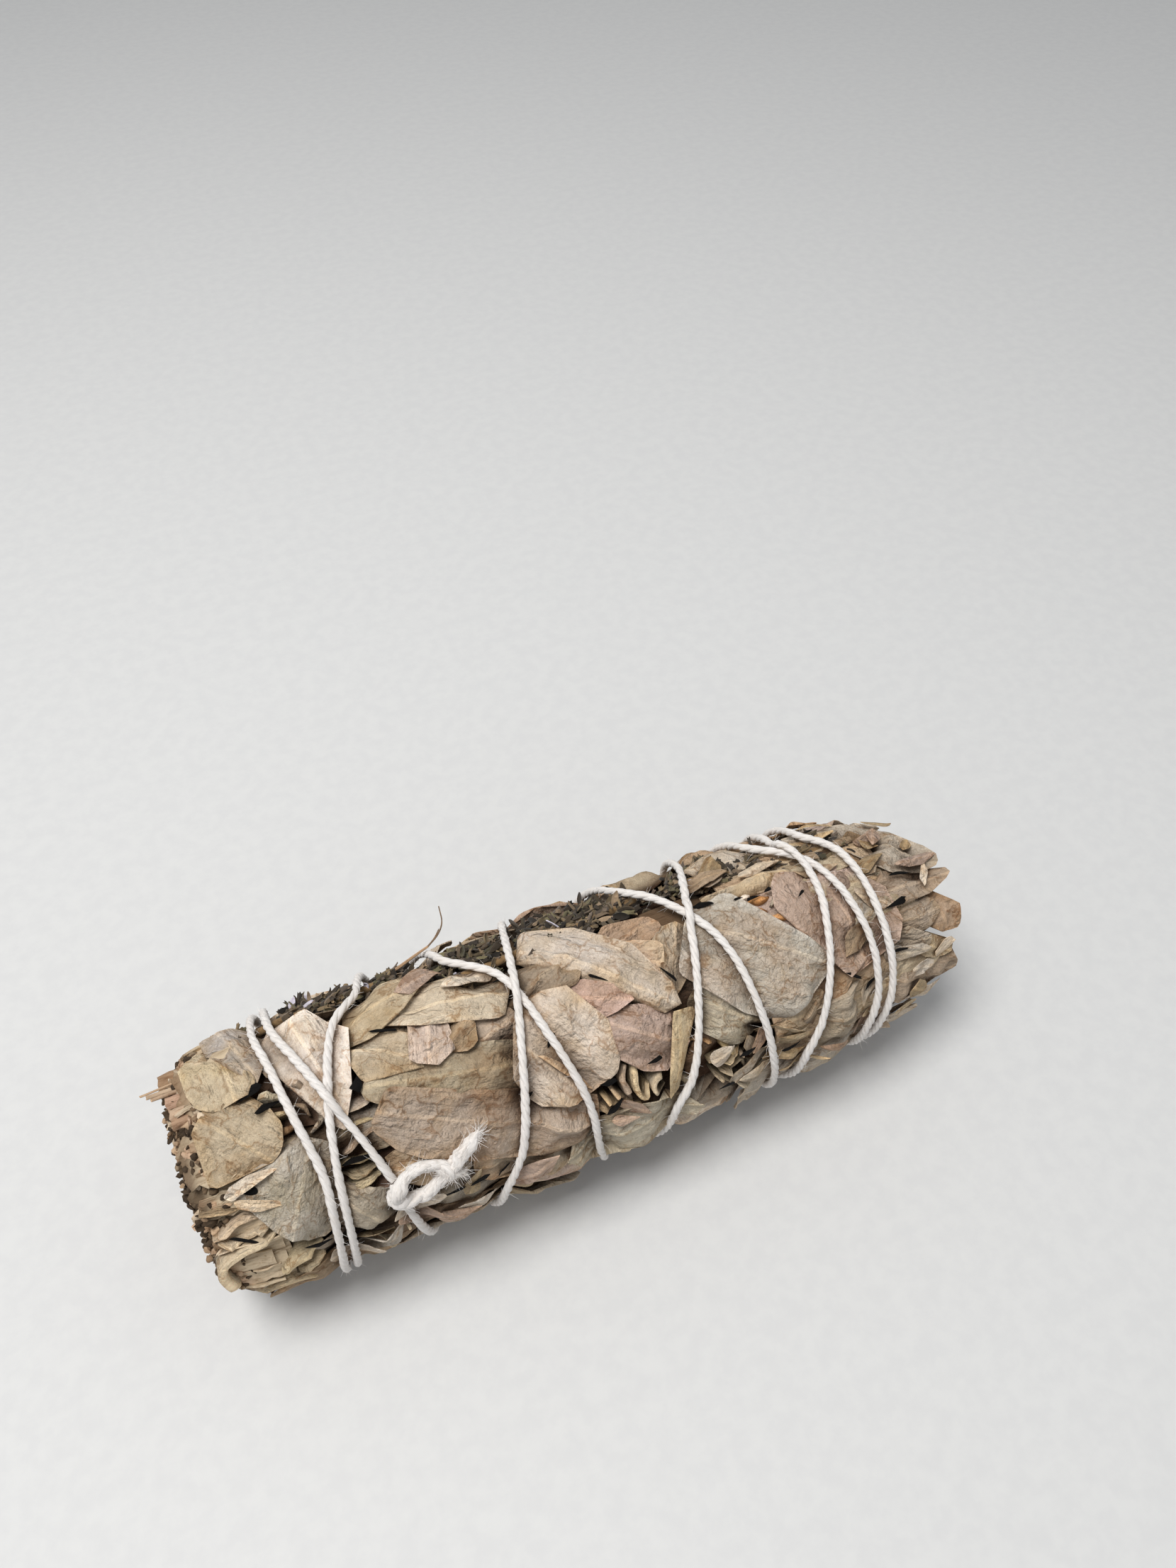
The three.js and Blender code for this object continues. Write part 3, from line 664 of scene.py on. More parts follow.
HEROES = [
    # The long pale leaf in the middle
    dict(outline=[(65, 105), (66.5, 108.5), (66.2, 111), (68, 113), (67.5, 118), (70, 115), (73, 111.5), (77, 107),
                  (80, 97), (82, 89), (85.5, 83), (87.3, 75), (88.6, 68), (89.8, 58), (89.4, 54), (87, 57.5), (84.5, 62),
                  (82, 69), (79, 78), (76, 84), (72, 91), (68.5, 98)],
         rib=[(66, 109), (89, 56)], tint=(200, 194, 182), second=(186, 172, 146), curl=0.6, vein=0.35, ridge=0.1,
         patch=0.2),
    # The grey strip at the left
    dict(outline=[(8, 133), (9.5, 122), (12.5, 110), (15, 100), (16.5, 91.5), (18.6, 95), (17.5, 102), (15.5, 112),
                  (15.6, 121), (17, 133)],
         rib=[(12, 130), (17, 93)], tint=(182, 178, 170), second=(170, 166, 156), curl=0.5, vein=0.8),
    # The folded grey leaf with its pale rim, at the lower left
    dict(outline=[(7.6, 56), (12, 55), (16, 60), (20, 65.5), (24, 61), (23.6, 50), (21.5, 40), (20.4, 16), (18, 17.5),
                  (13, 26), (12, 36), (10.6, 44), (12.4, 47), (11, 51), (8.6, 50)],
         rib=[(22, 62), (14, 28)], tint=(178, 174, 160), second=(166, 160, 140), curl=0.7, vein=1.0, ridge=0.3,
         folds=[(14, 49, 25, 0.5), (18, 42, 80, 0.35)]),
    # The smooth pale leaf under the crossing strings
    dict(outline=[(18.5, 115), (20, 122), (24, 119), (28, 118), (30, 112), (32.2, 104), (33, 95), (32, 85),
                  (30.6, 75), (29.6, 65), (28, 60), (26.6, 63), (25, 78), (22, 88), (20.4, 92), (19, 100)],
         rib=[(24, 120), (29, 62)], tint=(233, 228, 216), second=(220, 211, 192), curl=0.45, vein=0.25, wrinkle=0.25,
         ridge=0.08),
    # The pale grey one beside it, between the strings
    dict(outline=[(14.6, 122), (17, 126), (20.4, 122), (20.6, 110), (21, 98), (19, 93), (17.6, 100), (15.6, 112)],
         rib=[(17, 124), (20, 95)], tint=(198, 192, 176), curl=0.3, vein=0.3),
    # The big leaf in the middle of the front
    dict(outline=[(60, 72), (61, 84), (66, 85.5), (70.4, 85), (71.4, 78), (74, 70), (75.3, 63), (75.4, 50),
                  (74.6, 43), (72, 36), (68, 32.5), (65.6, 32), (60.4, 38), (57, 46), (58, 60)],
         rib=[(61, 62), (68.5, 32)], tint=(212, 203, 187), second=(196, 181, 156), curl=0.3, vein=0.45, ridge=0.3,
         folds=[(66, 72, -40, 0.35), (70, 50, 20, 0.3), (62, 50, -65, 0.25)], grow=0.0),
    # The diagonal leaf below it
    dict(outline=[(33, 58), (35, 67), (42, 61), (50, 53), (58, 44.5), (62, 38), (68, 30), (69, 20), (66, 15),
                  (58, 17), (50, 24), (46, 33), (48, 38), (40, 44), (34, 50)],
         rib=[(35, 60), (68, 20)], tint=(170, 158, 142), second=(142, 121, 99), curl=0.5, vein=0.55, ridge=0.22,
         folds=[(52, 40, -28, 0.3)], patch=0.5),
    # The grey net-veined leaf at the right
    dict(outline=[(94.6, 80), (98, 89), (102, 94), (106.5, 95), (107.4, 90), (109, 82), (111, 75), (114, 67),
                  (117, 59), (120.4, 50), (119.4, 46), (116, 41), (113, 34), (110, 30.5), (107, 32), (104, 37),
                  (101, 44), (99, 52), (97, 60), (94, 66), (92, 73)],
         rib=[(99, 85), (119, 49)], tint=(186, 182, 168), second=(182, 170, 152), curl=0.45, vein=1.0, ridge=0.4,
         wrinkle=0.35, folds=[(107, 58, 10, 0.3)]),
    # The wide brown-pink leaf beside it
    dict(outline=[(117, 95), (121, 93), (126.5, 93), (131, 88), (134, 81), (135.6, 72), (136, 60), (135.5, 45), (130, 43.5),
                  (126, 40.5), (122, 41), (122.6, 50), (124, 57), (120, 60), (117, 67), (113.6, 76)],
         rib=[(126, 92), (127, 42)], tint=(182, 164, 148), second=(170, 152, 134), curl=0.5, vein=0.8, ridge=0.22,
         wrinkle=0.4, folds=[(127, 60, 85, 0.4), (120, 72, -30, 0.4)]),
    # The big leaf at the upper right and its neighbour
    dict(outline=[(133.6, 125), (138, 127), (142.5, 124), (144.4, 118), (145, 111), (146.4, 105), (148.4, 97),
                  (150.2, 88), (150.6, 78), (149, 75), (145, 80), (141, 81), (139.4, 90), (136, 98), (134, 110)],
         rib=[(136, 118), (150, 80)], tint=(188, 181, 165), second=(176, 166, 146), curl=0.7, vein=0.7, ridge=0.2),
    dict(outline=[(135, 74), (138.6, 79), (142, 77.5), (145.6, 75.5), (149, 72), (152, 68), (150, 66), (147, 65),
                  (143.5, 65.5), (139.6, 61), (136, 63)],
         rib=[(136, 70), (151, 68)], tint=(176, 164, 146), second=(160, 142, 120), curl=0.9, vein=0.5, ridge=0.3),
    dict(outline=[(103, 124), (106, 126), (112, 126), (118, 128), (119, 124), (117.4, 118), (115, 112.5), (113, 108),
                  (110.5, 109), (107.4, 115), (104.6, 121)],
         rib=[(104, 124), (116, 116)], tint=(202, 197, 183), curl=0.4, vein=0.6),
    dict(outline=[(102.8, 99), (104, 106), (112, 108), (120, 109), (128, 105), (134, 101), (133.4, 93.5), (127, 95),
                  (121, 98), (114, 99.5), (108, 97), (104, 94)],
         rib=[(104, 101), (133, 97)], tint=(196, 186, 163), second=(180, 166, 140), curl=0.7, vein=0.4, ridge=0.5),
    # Under the smooth pale leaf, to its right
    dict(outline=[(32, 103), (33, 112), (38, 116), (43, 117), (46, 112), (47, 107), (44, 102), (41, 97.6), (38, 94.5),
                  (35.4, 93.6), (33.6, 97)],
         rib=[(33, 104), (46, 108)], tint=(188, 175, 147), second=(176, 160, 128), curl=0.4, vein=0.3),
    dict(outline=[(38, 101), (39, 106), (46, 107.5), (52, 107), (57, 105), (60.4, 99), (62.4, 92), (60, 85), (57, 81.5),
                  (53, 84), (47, 89.6), (41, 92)],
         rib=[(39, 99), (61, 90)], tint=(200, 190, 167), second=(190, 172, 140), curl=0.45, vein=0.3),
    dict(outline=[(42.2, 76), (42.6, 83), (43, 91), (46.4, 92), (49, 90), (48.6, 82), (48.4, 75), (45, 74)],
         tint=(202, 189, 175), second=(196, 182, 166), curl=0.3, vein=0.2),
    dict(outline=[(48.8, 77), (48.6, 84), (51, 86), (53.4, 83), (53.2, 77), (51, 74)],
         tint=(174, 158, 133), second=(150, 130, 100), curl=0.3, vein=0.3),
    dict(outline=[(31.8, 82), (32.4, 95), (36, 94), (41, 89), (43, 82), (42.6, 75), (37, 73.6), (33, 76)],
         rib=[(33, 90), (43, 76)], tint=(196, 187, 165), curl=0.35, vein=0.3),
    dict(outline=[(32.6, 68), (33.4, 76), (42, 76), (52, 71), (60.4, 67), (60, 56), (57, 46.6), (50, 53), (42, 60)],
         rib=[(34, 72), (60, 58)], tint=(168, 158, 134), second=(146, 128, 102), curl=0.4, vein=0.45, ridge=0.25, patch=0.6),
    dict(outline=[(52, 72), (53, 82), (58, 83), (61, 84), (61, 74), (60, 66), (55, 68)],
         tint=(198, 184, 164), second=(206, 176, 160), curl=0.3, vein=0.3),
    # Right of the lower string crossing
    dict(outline=[(21, 22), (22.4, 40), (25, 32), (30, 29), (33.4, 20), (32.6, 9), (28, 8.6), (24, 19)],
         tint=(172, 167, 153), second=(160, 152, 132), curl=0.4, vein=0.6),
    # The cream leaves at the left end
    dict(outline=[(5.8, 92), (6.4, 120), (9, 120), (12, 110), (14.6, 100), (16.4, 92), (13, 89.4), (9, 90)],
         rib=[(11.8, 112), (12.4, 92)], tint=CREAM, second=(186, 172, 136), curl=0.1, vein=0.6, ridge=0.45,
         thickness=0.2, gap=0.02),
    dict(outline=[(5.6, 60), (5.6, 86), (8, 91), (13.6, 90), (15.2, 83), (16.6, 76), (16.6, 66), (15.2, 59.5), (12, 60),
                  (9, 62)],
         rib=[(7, 84), (15, 60)], tint=(186, 175, 150), second=(172, 156, 128), curl=0.5, vein=0.35, ridge=0.15,
         folds=[(11, 66, -38, 0.5)]),
    # Beside and below the long pale leaf
    dict(outline=[(61, 86), (62.6, 98), (65, 103), (68.6, 97), (73, 89), (76, 83), (72, 83), (67, 86)],
         tint=(158, 146, 127), second=(146, 132, 112), curl=0.35, vein=0.35),
    dict(outline=[(69.4, 72), (70, 78), (74, 78), (79, 73), (81.4, 67), (78, 65), (74, 66)],
         tint=(192, 168, 152), second=(176, 152, 132), curl=0.35, vein=0.6),
    dict(outline=[(75, 50), (75.4, 65), (81, 62), (87, 56), (89, 48), (88.4, 38), (84, 34.6), (80, 39), (76.4, 45)],
         rib=[(76, 60), (88, 40)], tint=(180, 163, 150), second=(170, 152, 136), curl=0.4, vein=0.6),
    dict(outline=[(79, 86), (80, 92), (84, 91), (88, 88), (90, 82), (89, 76), (86.4, 74), (84, 80), (82, 83)],
         tint=(196, 180, 152), second=(194, 168, 146), curl=0.5, vein=0.3, tear=0.7),
    dict(outline=[(79.6, 92), (81, 98.6), (86, 98), (91, 97), (92, 91), (88, 88), (84, 89)],
         tint=(172, 152, 130), second=(152, 126, 102), curl=0.3, vein=0.5, tear=0.9),
    dict(outline=[(89.4, 62), (90, 78), (91, 90), (94, 94), (97, 88), (94, 76), (92.4, 66)],
         tint=(186, 176, 156), second=(176, 160, 136), curl=0.4, vein=0.6),
    dict(outline=[(91.4, 50), (92, 58), (98, 59), (101, 55), (104, 46), (107, 34), (104.4, 26.6), (100, 29), (96, 34),
                  (92.4, 43)],
         rib=[(93, 56), (105, 30)], tint=(182, 176, 156), second=(172, 162, 136), curl=0.5, vein=0.5),
    # Small ones at the right end
    dict(outline=[(126.6, 86), (127, 92), (133, 91.5), (137, 89), (139.4, 84), (136, 80), (131, 77), (128, 82)],
         tint=(182, 162, 132), second=(166, 144, 112), curl=0.4, vein=0.4),
    dict(outline=[(119.6, 112), (121, 119), (127, 121), (133, 121), (133.6, 114), (129, 110), (124, 109)],
         tint=(186, 178, 160), second=(170, 156, 130), curl=0.5, vein=0.4),
    dict(outline=[(133, 41), (134, 46), (137.4, 47), (140.4, 41), (142.4, 37), (139.4, 34.4), (135, 36)],
         tint=(176, 170, 156), curl=0.5, vein=0.4),
    dict(outline=[(138.6, 46), (139.4, 57), (142, 61), (145, 58), (146.4, 49), (145, 43), (141.6, 42)],
         tint=(172, 160, 142), second=(160, 146, 124), curl=0.5, vein=0.3, folds=[(142, 50, 90, 0.3)]),
    dict(outline=[(143.6, 40), (144.6, 58), (147, 61), (149.4, 54), (150.4, 44), (149.2, 35), (146.4, 33)],
         tint=(178, 158, 134), second=(158, 132, 104), curl=0.4, vein=0.4, tear=0.8),
    dict(outline=[(137.6, 37), (139, 42), (143, 38), (147, 30), (149.4, 21), (147.6, 18), (144, 26), (140.6, 31)],
         tint=(184, 170, 140), second=(170, 150, 118), curl=0.5, vein=0.4, ridge=0.4),
    dict(outline=[(133.6, 4), (134, 24), (138, 30), (143, 27), (148, 18), (150, 6), (146, -4), (138, -6)],
         tint=(168, 154, 134), second=(150, 132, 108), curl=0.5, vein=0.4, folds=[(141, 14, -30, 0.4)]),
    # Along the lower front
    dict(outline=[(110.6, 8), (112, 24), (117, 24), (122, 28), (127.4, 30), (128.6, 18), (126, 8), (120, 1), (114, 0)],
         rib=[(112, 16), (127, 20)], tint=(172, 164, 146), second=(158, 148, 128), curl=0.5, vein=0.5,
         folds=[(120, 16, 60, 0.3)]),
    dict(outline=[(63.6, 4), (65, 13), (69, 14.5), (75, 15), (80, 16.5), (84, 14), (88, 5), (86, -2), (80, -4), (72, -5),
                  (66, -3)],
         rib=[(65, 6), (86, 6)], tint=(184, 180, 162), second=(172, 166, 146), curl=0.4, vein=0.4),
    dict(outline=[(46, 14), (47, 30), (54, 24), (62, 16), (66, 12), (65, 2), (58, 4), (50, 8)],
         tint=(172, 162, 142), second=(190, 162, 130), curl=0.5, vein=0.4),
    dict(outline=[(33, 26), (34, 44), (40, 44), (46, 36), (48, 28), (44, 22), (38, 22)],
         tint=(180, 166, 142), second=(162, 142, 114), curl=0.4, vein=0.5),
    dict(outline=[(35, 10), (36, 21), (42, 20), (50, 13), (54, 5), (50, 0), (42, 4)],
         tint=(176, 170, 154), second=(164, 154, 132), curl=0.5, vein=0.4),
]


def lay_heroes():
    for i, leaf in enumerate(HEROES):
        form = {"grow": 0.0 if i < 5 else 0.8, "wrinkle": 0.55, "thickness": 0.3, "gap": 0.08, **leaf}
        form["curl"] *= 0.6
        lay_leaf(spacing=0.75, seed=100 + 10 * i, **form)


# Where small broken slivers lie on the front: distances, angles and how many
SLIVER_AREAS = [((72, 110), (4, 32), 10), ((22, 60), (-6, 18), 10), ((110, 147), (-6, 38), 13), ((100, 135), (90, 128), 10),
                ((126, 148), (50, 110), 8), ((30, 60), (102, 118), 2), ((135, 149), (80, 122), 7)]


# Near-black patches laid among the leaves as painted shadow, for openings too small for the maps: distance, angle,
# length, width and turn
PAINTED_SHADOW_PATCHES = [(15.1, 88.6, 3.2, 2.4, 20), (17.2, 80.6, 3.6, 1.3, 10), (32.0, 75.8, 2.0, 3.0, 80), (38.7, 92.2, 3.6, 1.2, -20),
         (101.2, 96.1, 2.6, 1.5, -30), (89.2, 70.2, 3.2, 1.1, -60), (81.6, 38.3, 2.2, 1.6, 0), (99.4, 24.0, 2.8, 1.6, 0),
         (28.3, 46.8, 4.4, 1.1, -4), (9.9, 51.3, 2.2, 2.2, -20), (46.4, 16.1, 2.4, 1.2, 10), (50.5, 11.6, 1.8, 1.0, 30),
         (123.3, 38.4, 2.4, 1.0, -40), (127.2, 28.5, 2.2, 1.2, 20), (138.1, 62.4, 3.8, 2.4, 0), (134.8, 38.7, 2.4, 1.0, 0),
         (65.2, 63.0, 2.0, 0.8, 50), (141.7, 76.4, 3.4, 1.1, -10), (117.4, 119.5, 2.4, 0.9, -20), (72.6, 24.2, 2.6, 1.0, 40),
         (94.4, 9.4, 2.4, 1.1, 0), (72.4, 36.8, 2.0, 1.0, 0), (58.0, 43.2, 1.8, 1.0, 30), (40.3, 16.3, 3.4, 0.9, -5),
         (108.6, 14.6, 3.4, 0.9, 15), (61.2, 98.1, 1.8, 0.8, 0), (77.2, 79.0, 2.6, 0.8, -40), (110.5, 88.8, 1.8, 1.3, 0),
         (114.4, 90.2, 1.6, 1.2, 0), (108.1, 91.3, 1.4, 0.8, 0), (119.9, 83.2, 1.6, 0.8, 30), (6.8, 32.4, 3.2, 0.8, -30),
         (17.7, 15.7, 3.2, 0.8, -20)]


# Painted shadow: near black, darker than anything on the bundle
PAINTED_SHADOW_COLOUR = (7, 5, 4)


def lay_painted_shadow_patches():
    rng = np.random.default_rng(19)
    for i, (distance, angle, length, width, turn) in enumerate(PAINTED_SHADOW_PATCHES):
        corners = np.array([(-0.5, 0), (-0.1, 0.2), (0.15, 0.55), (0.35, 0.2), (0.5, -0.1), (0.0, -0.2)])
        corners = (corners + rng.uniform(-0.1, 0.1, (6, 2))) * (1.7 * length, 1.15 * width)
        corners[:, 0] *= rng.choice([-1, 1])
        outline = turned(corners, turn) / (1, ARC) + (distance, angle)
        # Each patch is a thin near-black leaf laid a little deep, as painted shadow in an opening
        lay_leaf(outline, PAINTED_SHADOW_COLOUR, depth=0.25, curl=0, wrinkle=0.1, spacing=0.5, tear=0.16, vein=0,
                 thickness=0.12, gap=0.1, seed=2000 + i)


def lay_slivers():
    """Small broken bits that lie on the other leaves of the front."""
    rng = np.random.default_rng(20)
    for distances, angles, count in SLIVER_AREAS:
        for _ in range(count):
            length, width = rng.uniform(4, 13), rng.uniform(1.6, 4.8)
            lean = rng.normal() * 28
            corners = np.array([(-0.5, 0), (-0.25, 0.5), (0.1, 0.45), (0.5, 0.1), (0.2, -0.4), (-0.2, -0.5)])
            corners = (corners + rng.uniform(-0.12, 0.12, (6, 2))) * (length, width)
            place = np.array([rng.uniform(*distances), rng.uniform(*angles)])
            outline = turned(corners, lean) / (1, ARC) + place
            tint = np.array(pick((GREY, PALE, CREAM, OLIVE, BROWN, MAUVE), rng)) * rng.uniform(0.9, 1.04)
            lay_leaf(outline, tint, depth=rng.uniform(-0.5, 0.3), curl=rng.uniform(0, 0.6), wrinkle=0.25,
                     spacing=0.65, tear=0.4, vein=0.3, thickness=0.28, seed=int(rng.integers(3000, 9000)))


# Where the bundle stays open between its leaves: distance, angle, half length and half
# width, turned by degrees, and how deep
GAPS = [
    (17, 80, 3.4, 4.6, 0, 5), (22, 73, 1.6, 1.2, 60, 4), (28, 43, 3, 4.2, 0, 4), (10.2, 49.5, 1, 0.8, 0, 4),
    (31.5, 77, 1.4, 1, 60, 3), (112, 88, 4.5, 2.6, -20, 3.5), (130.5, 116, 3, 1.4, -30, 3), (140, 61, 3, 1.4, 0, 5),
    (144, 79, 4, 1, 0, 3.5), (88.5, 65, 2.6, 0.8, -65, 2.5), (76, 33, 4.6, 4.4, 0, 4.5), (84, 28, 2.6, 4, 0, 4.5),
    (96, 16, 6, 5, 0, 4), (9, 22, 6, 8, 0, 4), (142, 39, 2, 1, 0, 4), (82, 40, 1.8, 1, 0, 3), (48, 6, 4, 2, -20, 3),
    (28, 0, 5, 4, 0, 3), (54, 116, 10, 2, 0, 2), (84, 112, 14, 3.5, 0, 2.5), (106, 112, 5, 3, 0, 2.5),
    (36, 96, 2.6, 0.8, -40, 2),
]


def open_gaps():
    """Lowers the surface that later leaves aim for."""
    x, t = np.meshgrid(MAP_X, MAP_T, indexing="ij")
    for distance, angle, half_length, half_width, turn, depth in GAPS:
        dx = x - distance
        dy = ((t - angle + 180) % 360 - 180) * ARC
        c, s = math.cos(math.radians(turn)), math.sin(math.radians(turn))
        u = (dx * c + dy * s) / half_length
        v = (dy * c - dx * s) / half_width
        SURFACE[:] -= depth * np.exp(-((u ** 2 + v ** 2) ** 2) / 1.4)


# The room kept for each herb head: its radius, and how far it lies behind the stem
HEAD_ROOM = 6.8
HEAD_ASIDE = 2.8


def clear_sprays():
    """Lowers the ceiling round each herb spray's head, so that leaves pass under it."""
    global CEILING
    x, t = np.meshgrid(MAP_X, MAP_T, indexing="ij")
    for spray in SPRAYS:
        stem = even_path(smooth_path(spray["stem"], 2), 1.0)
        first, last = spray["head"]
        for distance, angle, _ in stem[(stem[:, 0] > first) & (stem[:, 0] < last)]:
            near = np.abs(x[:, 0] - distance) < 6
            dy = ((t[near] - angle + 180) % 360 - 180) * ARC - HEAD_ASIDE
            gap = np.hypot((x[near] - distance) * 1.3, dy)
            roof = bundle_radius(distance) - 1.2 - 0.6 * np.sqrt(np.maximum(HEAD_ROOM ** 2 - gap ** 2, 0))
            CEILING[near] = np.where(gap < HEAD_ROOM, np.minimum(CEILING[near], roof), CEILING[near])


# Leaves placed by draw

def leaf_outline(distance, angle, length, width, lean, rng):
    """A long oval leaf with its tip towards the bundle's narrow end."""
    share = np.linspace(0, 1, 9)
    swell = np.sin(np.pi * (0.03 + 0.94 * share) ** 0.85) ** 0.75
    left = width / 2 * swell * (1 + rng.uniform(-0.12, 0.12, 9))
    right = width / 2 * swell * (1 + rng.uniform(-0.12, 0.12, 9))
    along = (share - 0.5) * length
    bend = rng.uniform(-0.06, 0.06) * length * (4 * (share - 0.5) ** 2)
    outline = np.vstack([np.stack([along, left + bend], 1), np.stack([along, bend - right], 1)[::-1]])
    tips = np.array([[-length / 2, 0], [length / 2, 0]])
    place = np.array([distance, angle * ARC])
    return [(turned(flat, lean) + place) / (1, ARC) for flat in (outline, tips)]


def drawn_colours(rng):
    colours = [GREY, PALE, CREAM, OLIVE, MAUVE, BROWN, PINK, TAN]
    first = colours[rng.choice(8, p=[0.27, 0.22, 0.17, 0.1, 0.1, 0.06, 0.04, 0.04])]
    second = colours[rng.choice(8, p=[0.1, 0.1, 0.12, 0.16, 0.16, 0.2, 0.06, 0.1])]
    return np.array(first) * rng.uniform(0.93, 1.04), second


# Even spreads along and round the bundle, and where drawn leaves lie along it
ROUND_STEP = 0.618034
ALONG_STEP = 0.7548777
SCATTER_START = 8
SCATTER_END = 134


def scatter_leaves(count, seed, angles, lengths, widths, depths, spacing, tear, wrinkle):
    rng = np.random.default_rng(seed)
    for i in range(count):
        length = rng.uniform(*lengths)
        distance = SCATTER_START + (SCATTER_END - SCATTER_START) * ((i * ALONG_STEP) % 1)
        nearest = 5 + length / 2 + rng.uniform(0, 3)
        furthest = LENGTH - 2 - length / 2 + rng.uniform(-4, 1)
        distance = min(max(distance, nearest), furthest)
        angle = angles[0] + (angles[1] - angles[0]) * ((i * ROUND_STEP) % 1) + rng.uniform(-4, 4)
        outline, rib = leaf_outline(distance, angle, length, rng.uniform(*widths), rng.uniform(-16, 16), rng)
        tint, second = drawn_colours(rng)
        folds = [(distance + rng.uniform(-8, 8), angle + rng.uniform(-8, 8), rng.uniform(-60, 60),
                  rng.uniform(-0.5, 0.5)) for _ in range(2)]
        lay_leaf(outline, tint, rib=rib, second=second, depth=rng.uniform(*depths), spacing=spacing, folds=folds,
                 curl=rng.uniform(0.3, 0.8), vein=rng.uniform(0.3, 0.9), seed=1000 + seed * 100 + i,
                 ridge=rng.uniform(0.1, 0.35), tear=tear, wrinkle=wrinkle)


# The layers of drawn leaves, outer ones first: how many, between which angles, lengths,
# widths and depths, and how far apart their points are
BACK_LAYERS = [
    (34, (150, 352), (34, 56), (13, 21), (0, 0.5), 1.15),
    (26, (140, 360), (20, 34), (8, 14), (0, 0.8), 1.15),
]
INNER_LAYERS = [
    (60, (0, 360), (30, 50), (13, 20), (0.5, 1.4), 1.5),
    (60, (0, 360), (22, 40), (10, 17), (1.2, 2.6), 1.7),
    (50, (0, 360), (30, 46), (13, 20), (2.4, 3.6), 2.2),
]


def lay_layers(layers, first_seed, tear, wrinkle):
    for i, (count, angles, lengths, widths, depths, spacing) in enumerate(layers):
        scatter_leaves(count, first_seed + i, angles, lengths, widths, depths, spacing, tear, wrinkle)


CORE_START = 2.5
CORE_NARROWS = 104
CORE_END = 122
CORE_SHARE = 0.86
# Painted shade: the packed inside is coloured far darker than the leaves
CORE_SHADE_COLOUR = (88, 72, 54)


def core():
    """What is packed inside, crumpled and coloured dark brown as painted shade, so that no gap looks through the
    bundle.
    """
    angles = np.arange(0, 360, 4.0)
    low = lowest_within(CEILING, 1.0)
    rings = []
    for distance in np.linspace(CORE_START, CORE_END, 80):
        close = 1 - 0.75 * max(0, (distance - CORE_NARROWS) / (CORE_END - CORE_NARROWS)) ** 2
        roof = read_map(low, np.full(len(angles), distance), angles) - 0.3
        radius = np.minimum(roof, bundle_radius(distance) * CORE_SHARE * close)
        rings.append(on_bundle(distance, angles, radius))
    sprigs[0].add(*loft(np.array(rings)), tinted(CORE_SHADE_COLOUR), kind=STEM_KIND)


# Folded edges that stand in the gaps

EDGE_STEP = 0.7
EDGE_DEPTH = 5.0
EDGE_WAVE = 0.25

# A folded edge's section: across as a share of its half width, and down as a share of its depth
EDGE_PROFILE = [(-1.0, 1.0), (-1.0, 0.12), (-0.75, 0.03), (0.0, 0.0), (0.75, 0.03), (1.0, 0.12), (1.0, 1.0)]


def stand_edge(path, width, tint, seed, lift=0.0):
    """A folded leaf edge seen from above: it follows the path and runs down into the bundle."""
    route = even_path(smooth_path(np.asarray(path, float) * (1, ARC), EDGE_STEP), EDGE_STEP)
    run = tangents(route)
    side = np.stack([-run[:, 1], run[:, 0]], 1)
    route = route + side * (EDGE_WAVE * noise(route / 2.2, seed))[:, None]
    top = read_map(lowest_within(CEILING, 1.0), route[:, 0], route[:, 1] / ARC) - 0.3
    steps = np.arange(len(route))
    ends = np.clip(np.minimum(steps, steps[::-1]) / 3, 0, 1)
    aim = bundle_radius(route[:, 0]) + BULGE + lift + 0.35 * noise(route / 4, seed + 1) - 1.2 * (1 - ends)
    top = np.minimum(top, aim)
    half = width / 2 * (1 + 0.3 * noise(route / 3, seed + 2)) * (0.5 + 0.5 * ends)
    rings = []
    for across, down in EDGE_PROFILE:
        swing = 0.4 * down * noise(route / 3 + down, seed + 3)
        flat = route + side * (half * across + swing)[:, None]
        rings.append(on_bundle(flat[:, 0], flat[:, 1] / ARC, top - down * EDGE_DEPTH))
    points, triangles = loft(np.stack(rings, axis=1))
    length = steps * EDGE_STEP + 11.0 * (seed % 53)
    across, down = np.tile(np.array(EDGE_PROFILE).T, len(route))
    uv = np.stack([np.repeat(length, len(EDGE_PROFILE)), across * 0.5 + down * 5], 1)
    shade = 1 + 0.08 * noise(points / 2.5, seed + 4)
    # Painted shade: the edge is coloured darker the further it runs down into the bundle
    shade[:len(down)] *= 1 - 0.25 * down
    radius = np.hypot(points[:, 1] - AXIS_Y, points[:, 2] - AXIS_HEIGHT)
    # Painted shade: darker where the edge lies deep in a gap
    shade *= 1 - 0.88 * sunk(points[:, 0] + LENGTH / 2, radius)
    colour = with_vein(linear(tint) * shade[:, None], 0.3)
    sprig_at(route[:, 1].mean() / ARC).add(points, triangles, colour, capped(uv), LEAF_KIND)


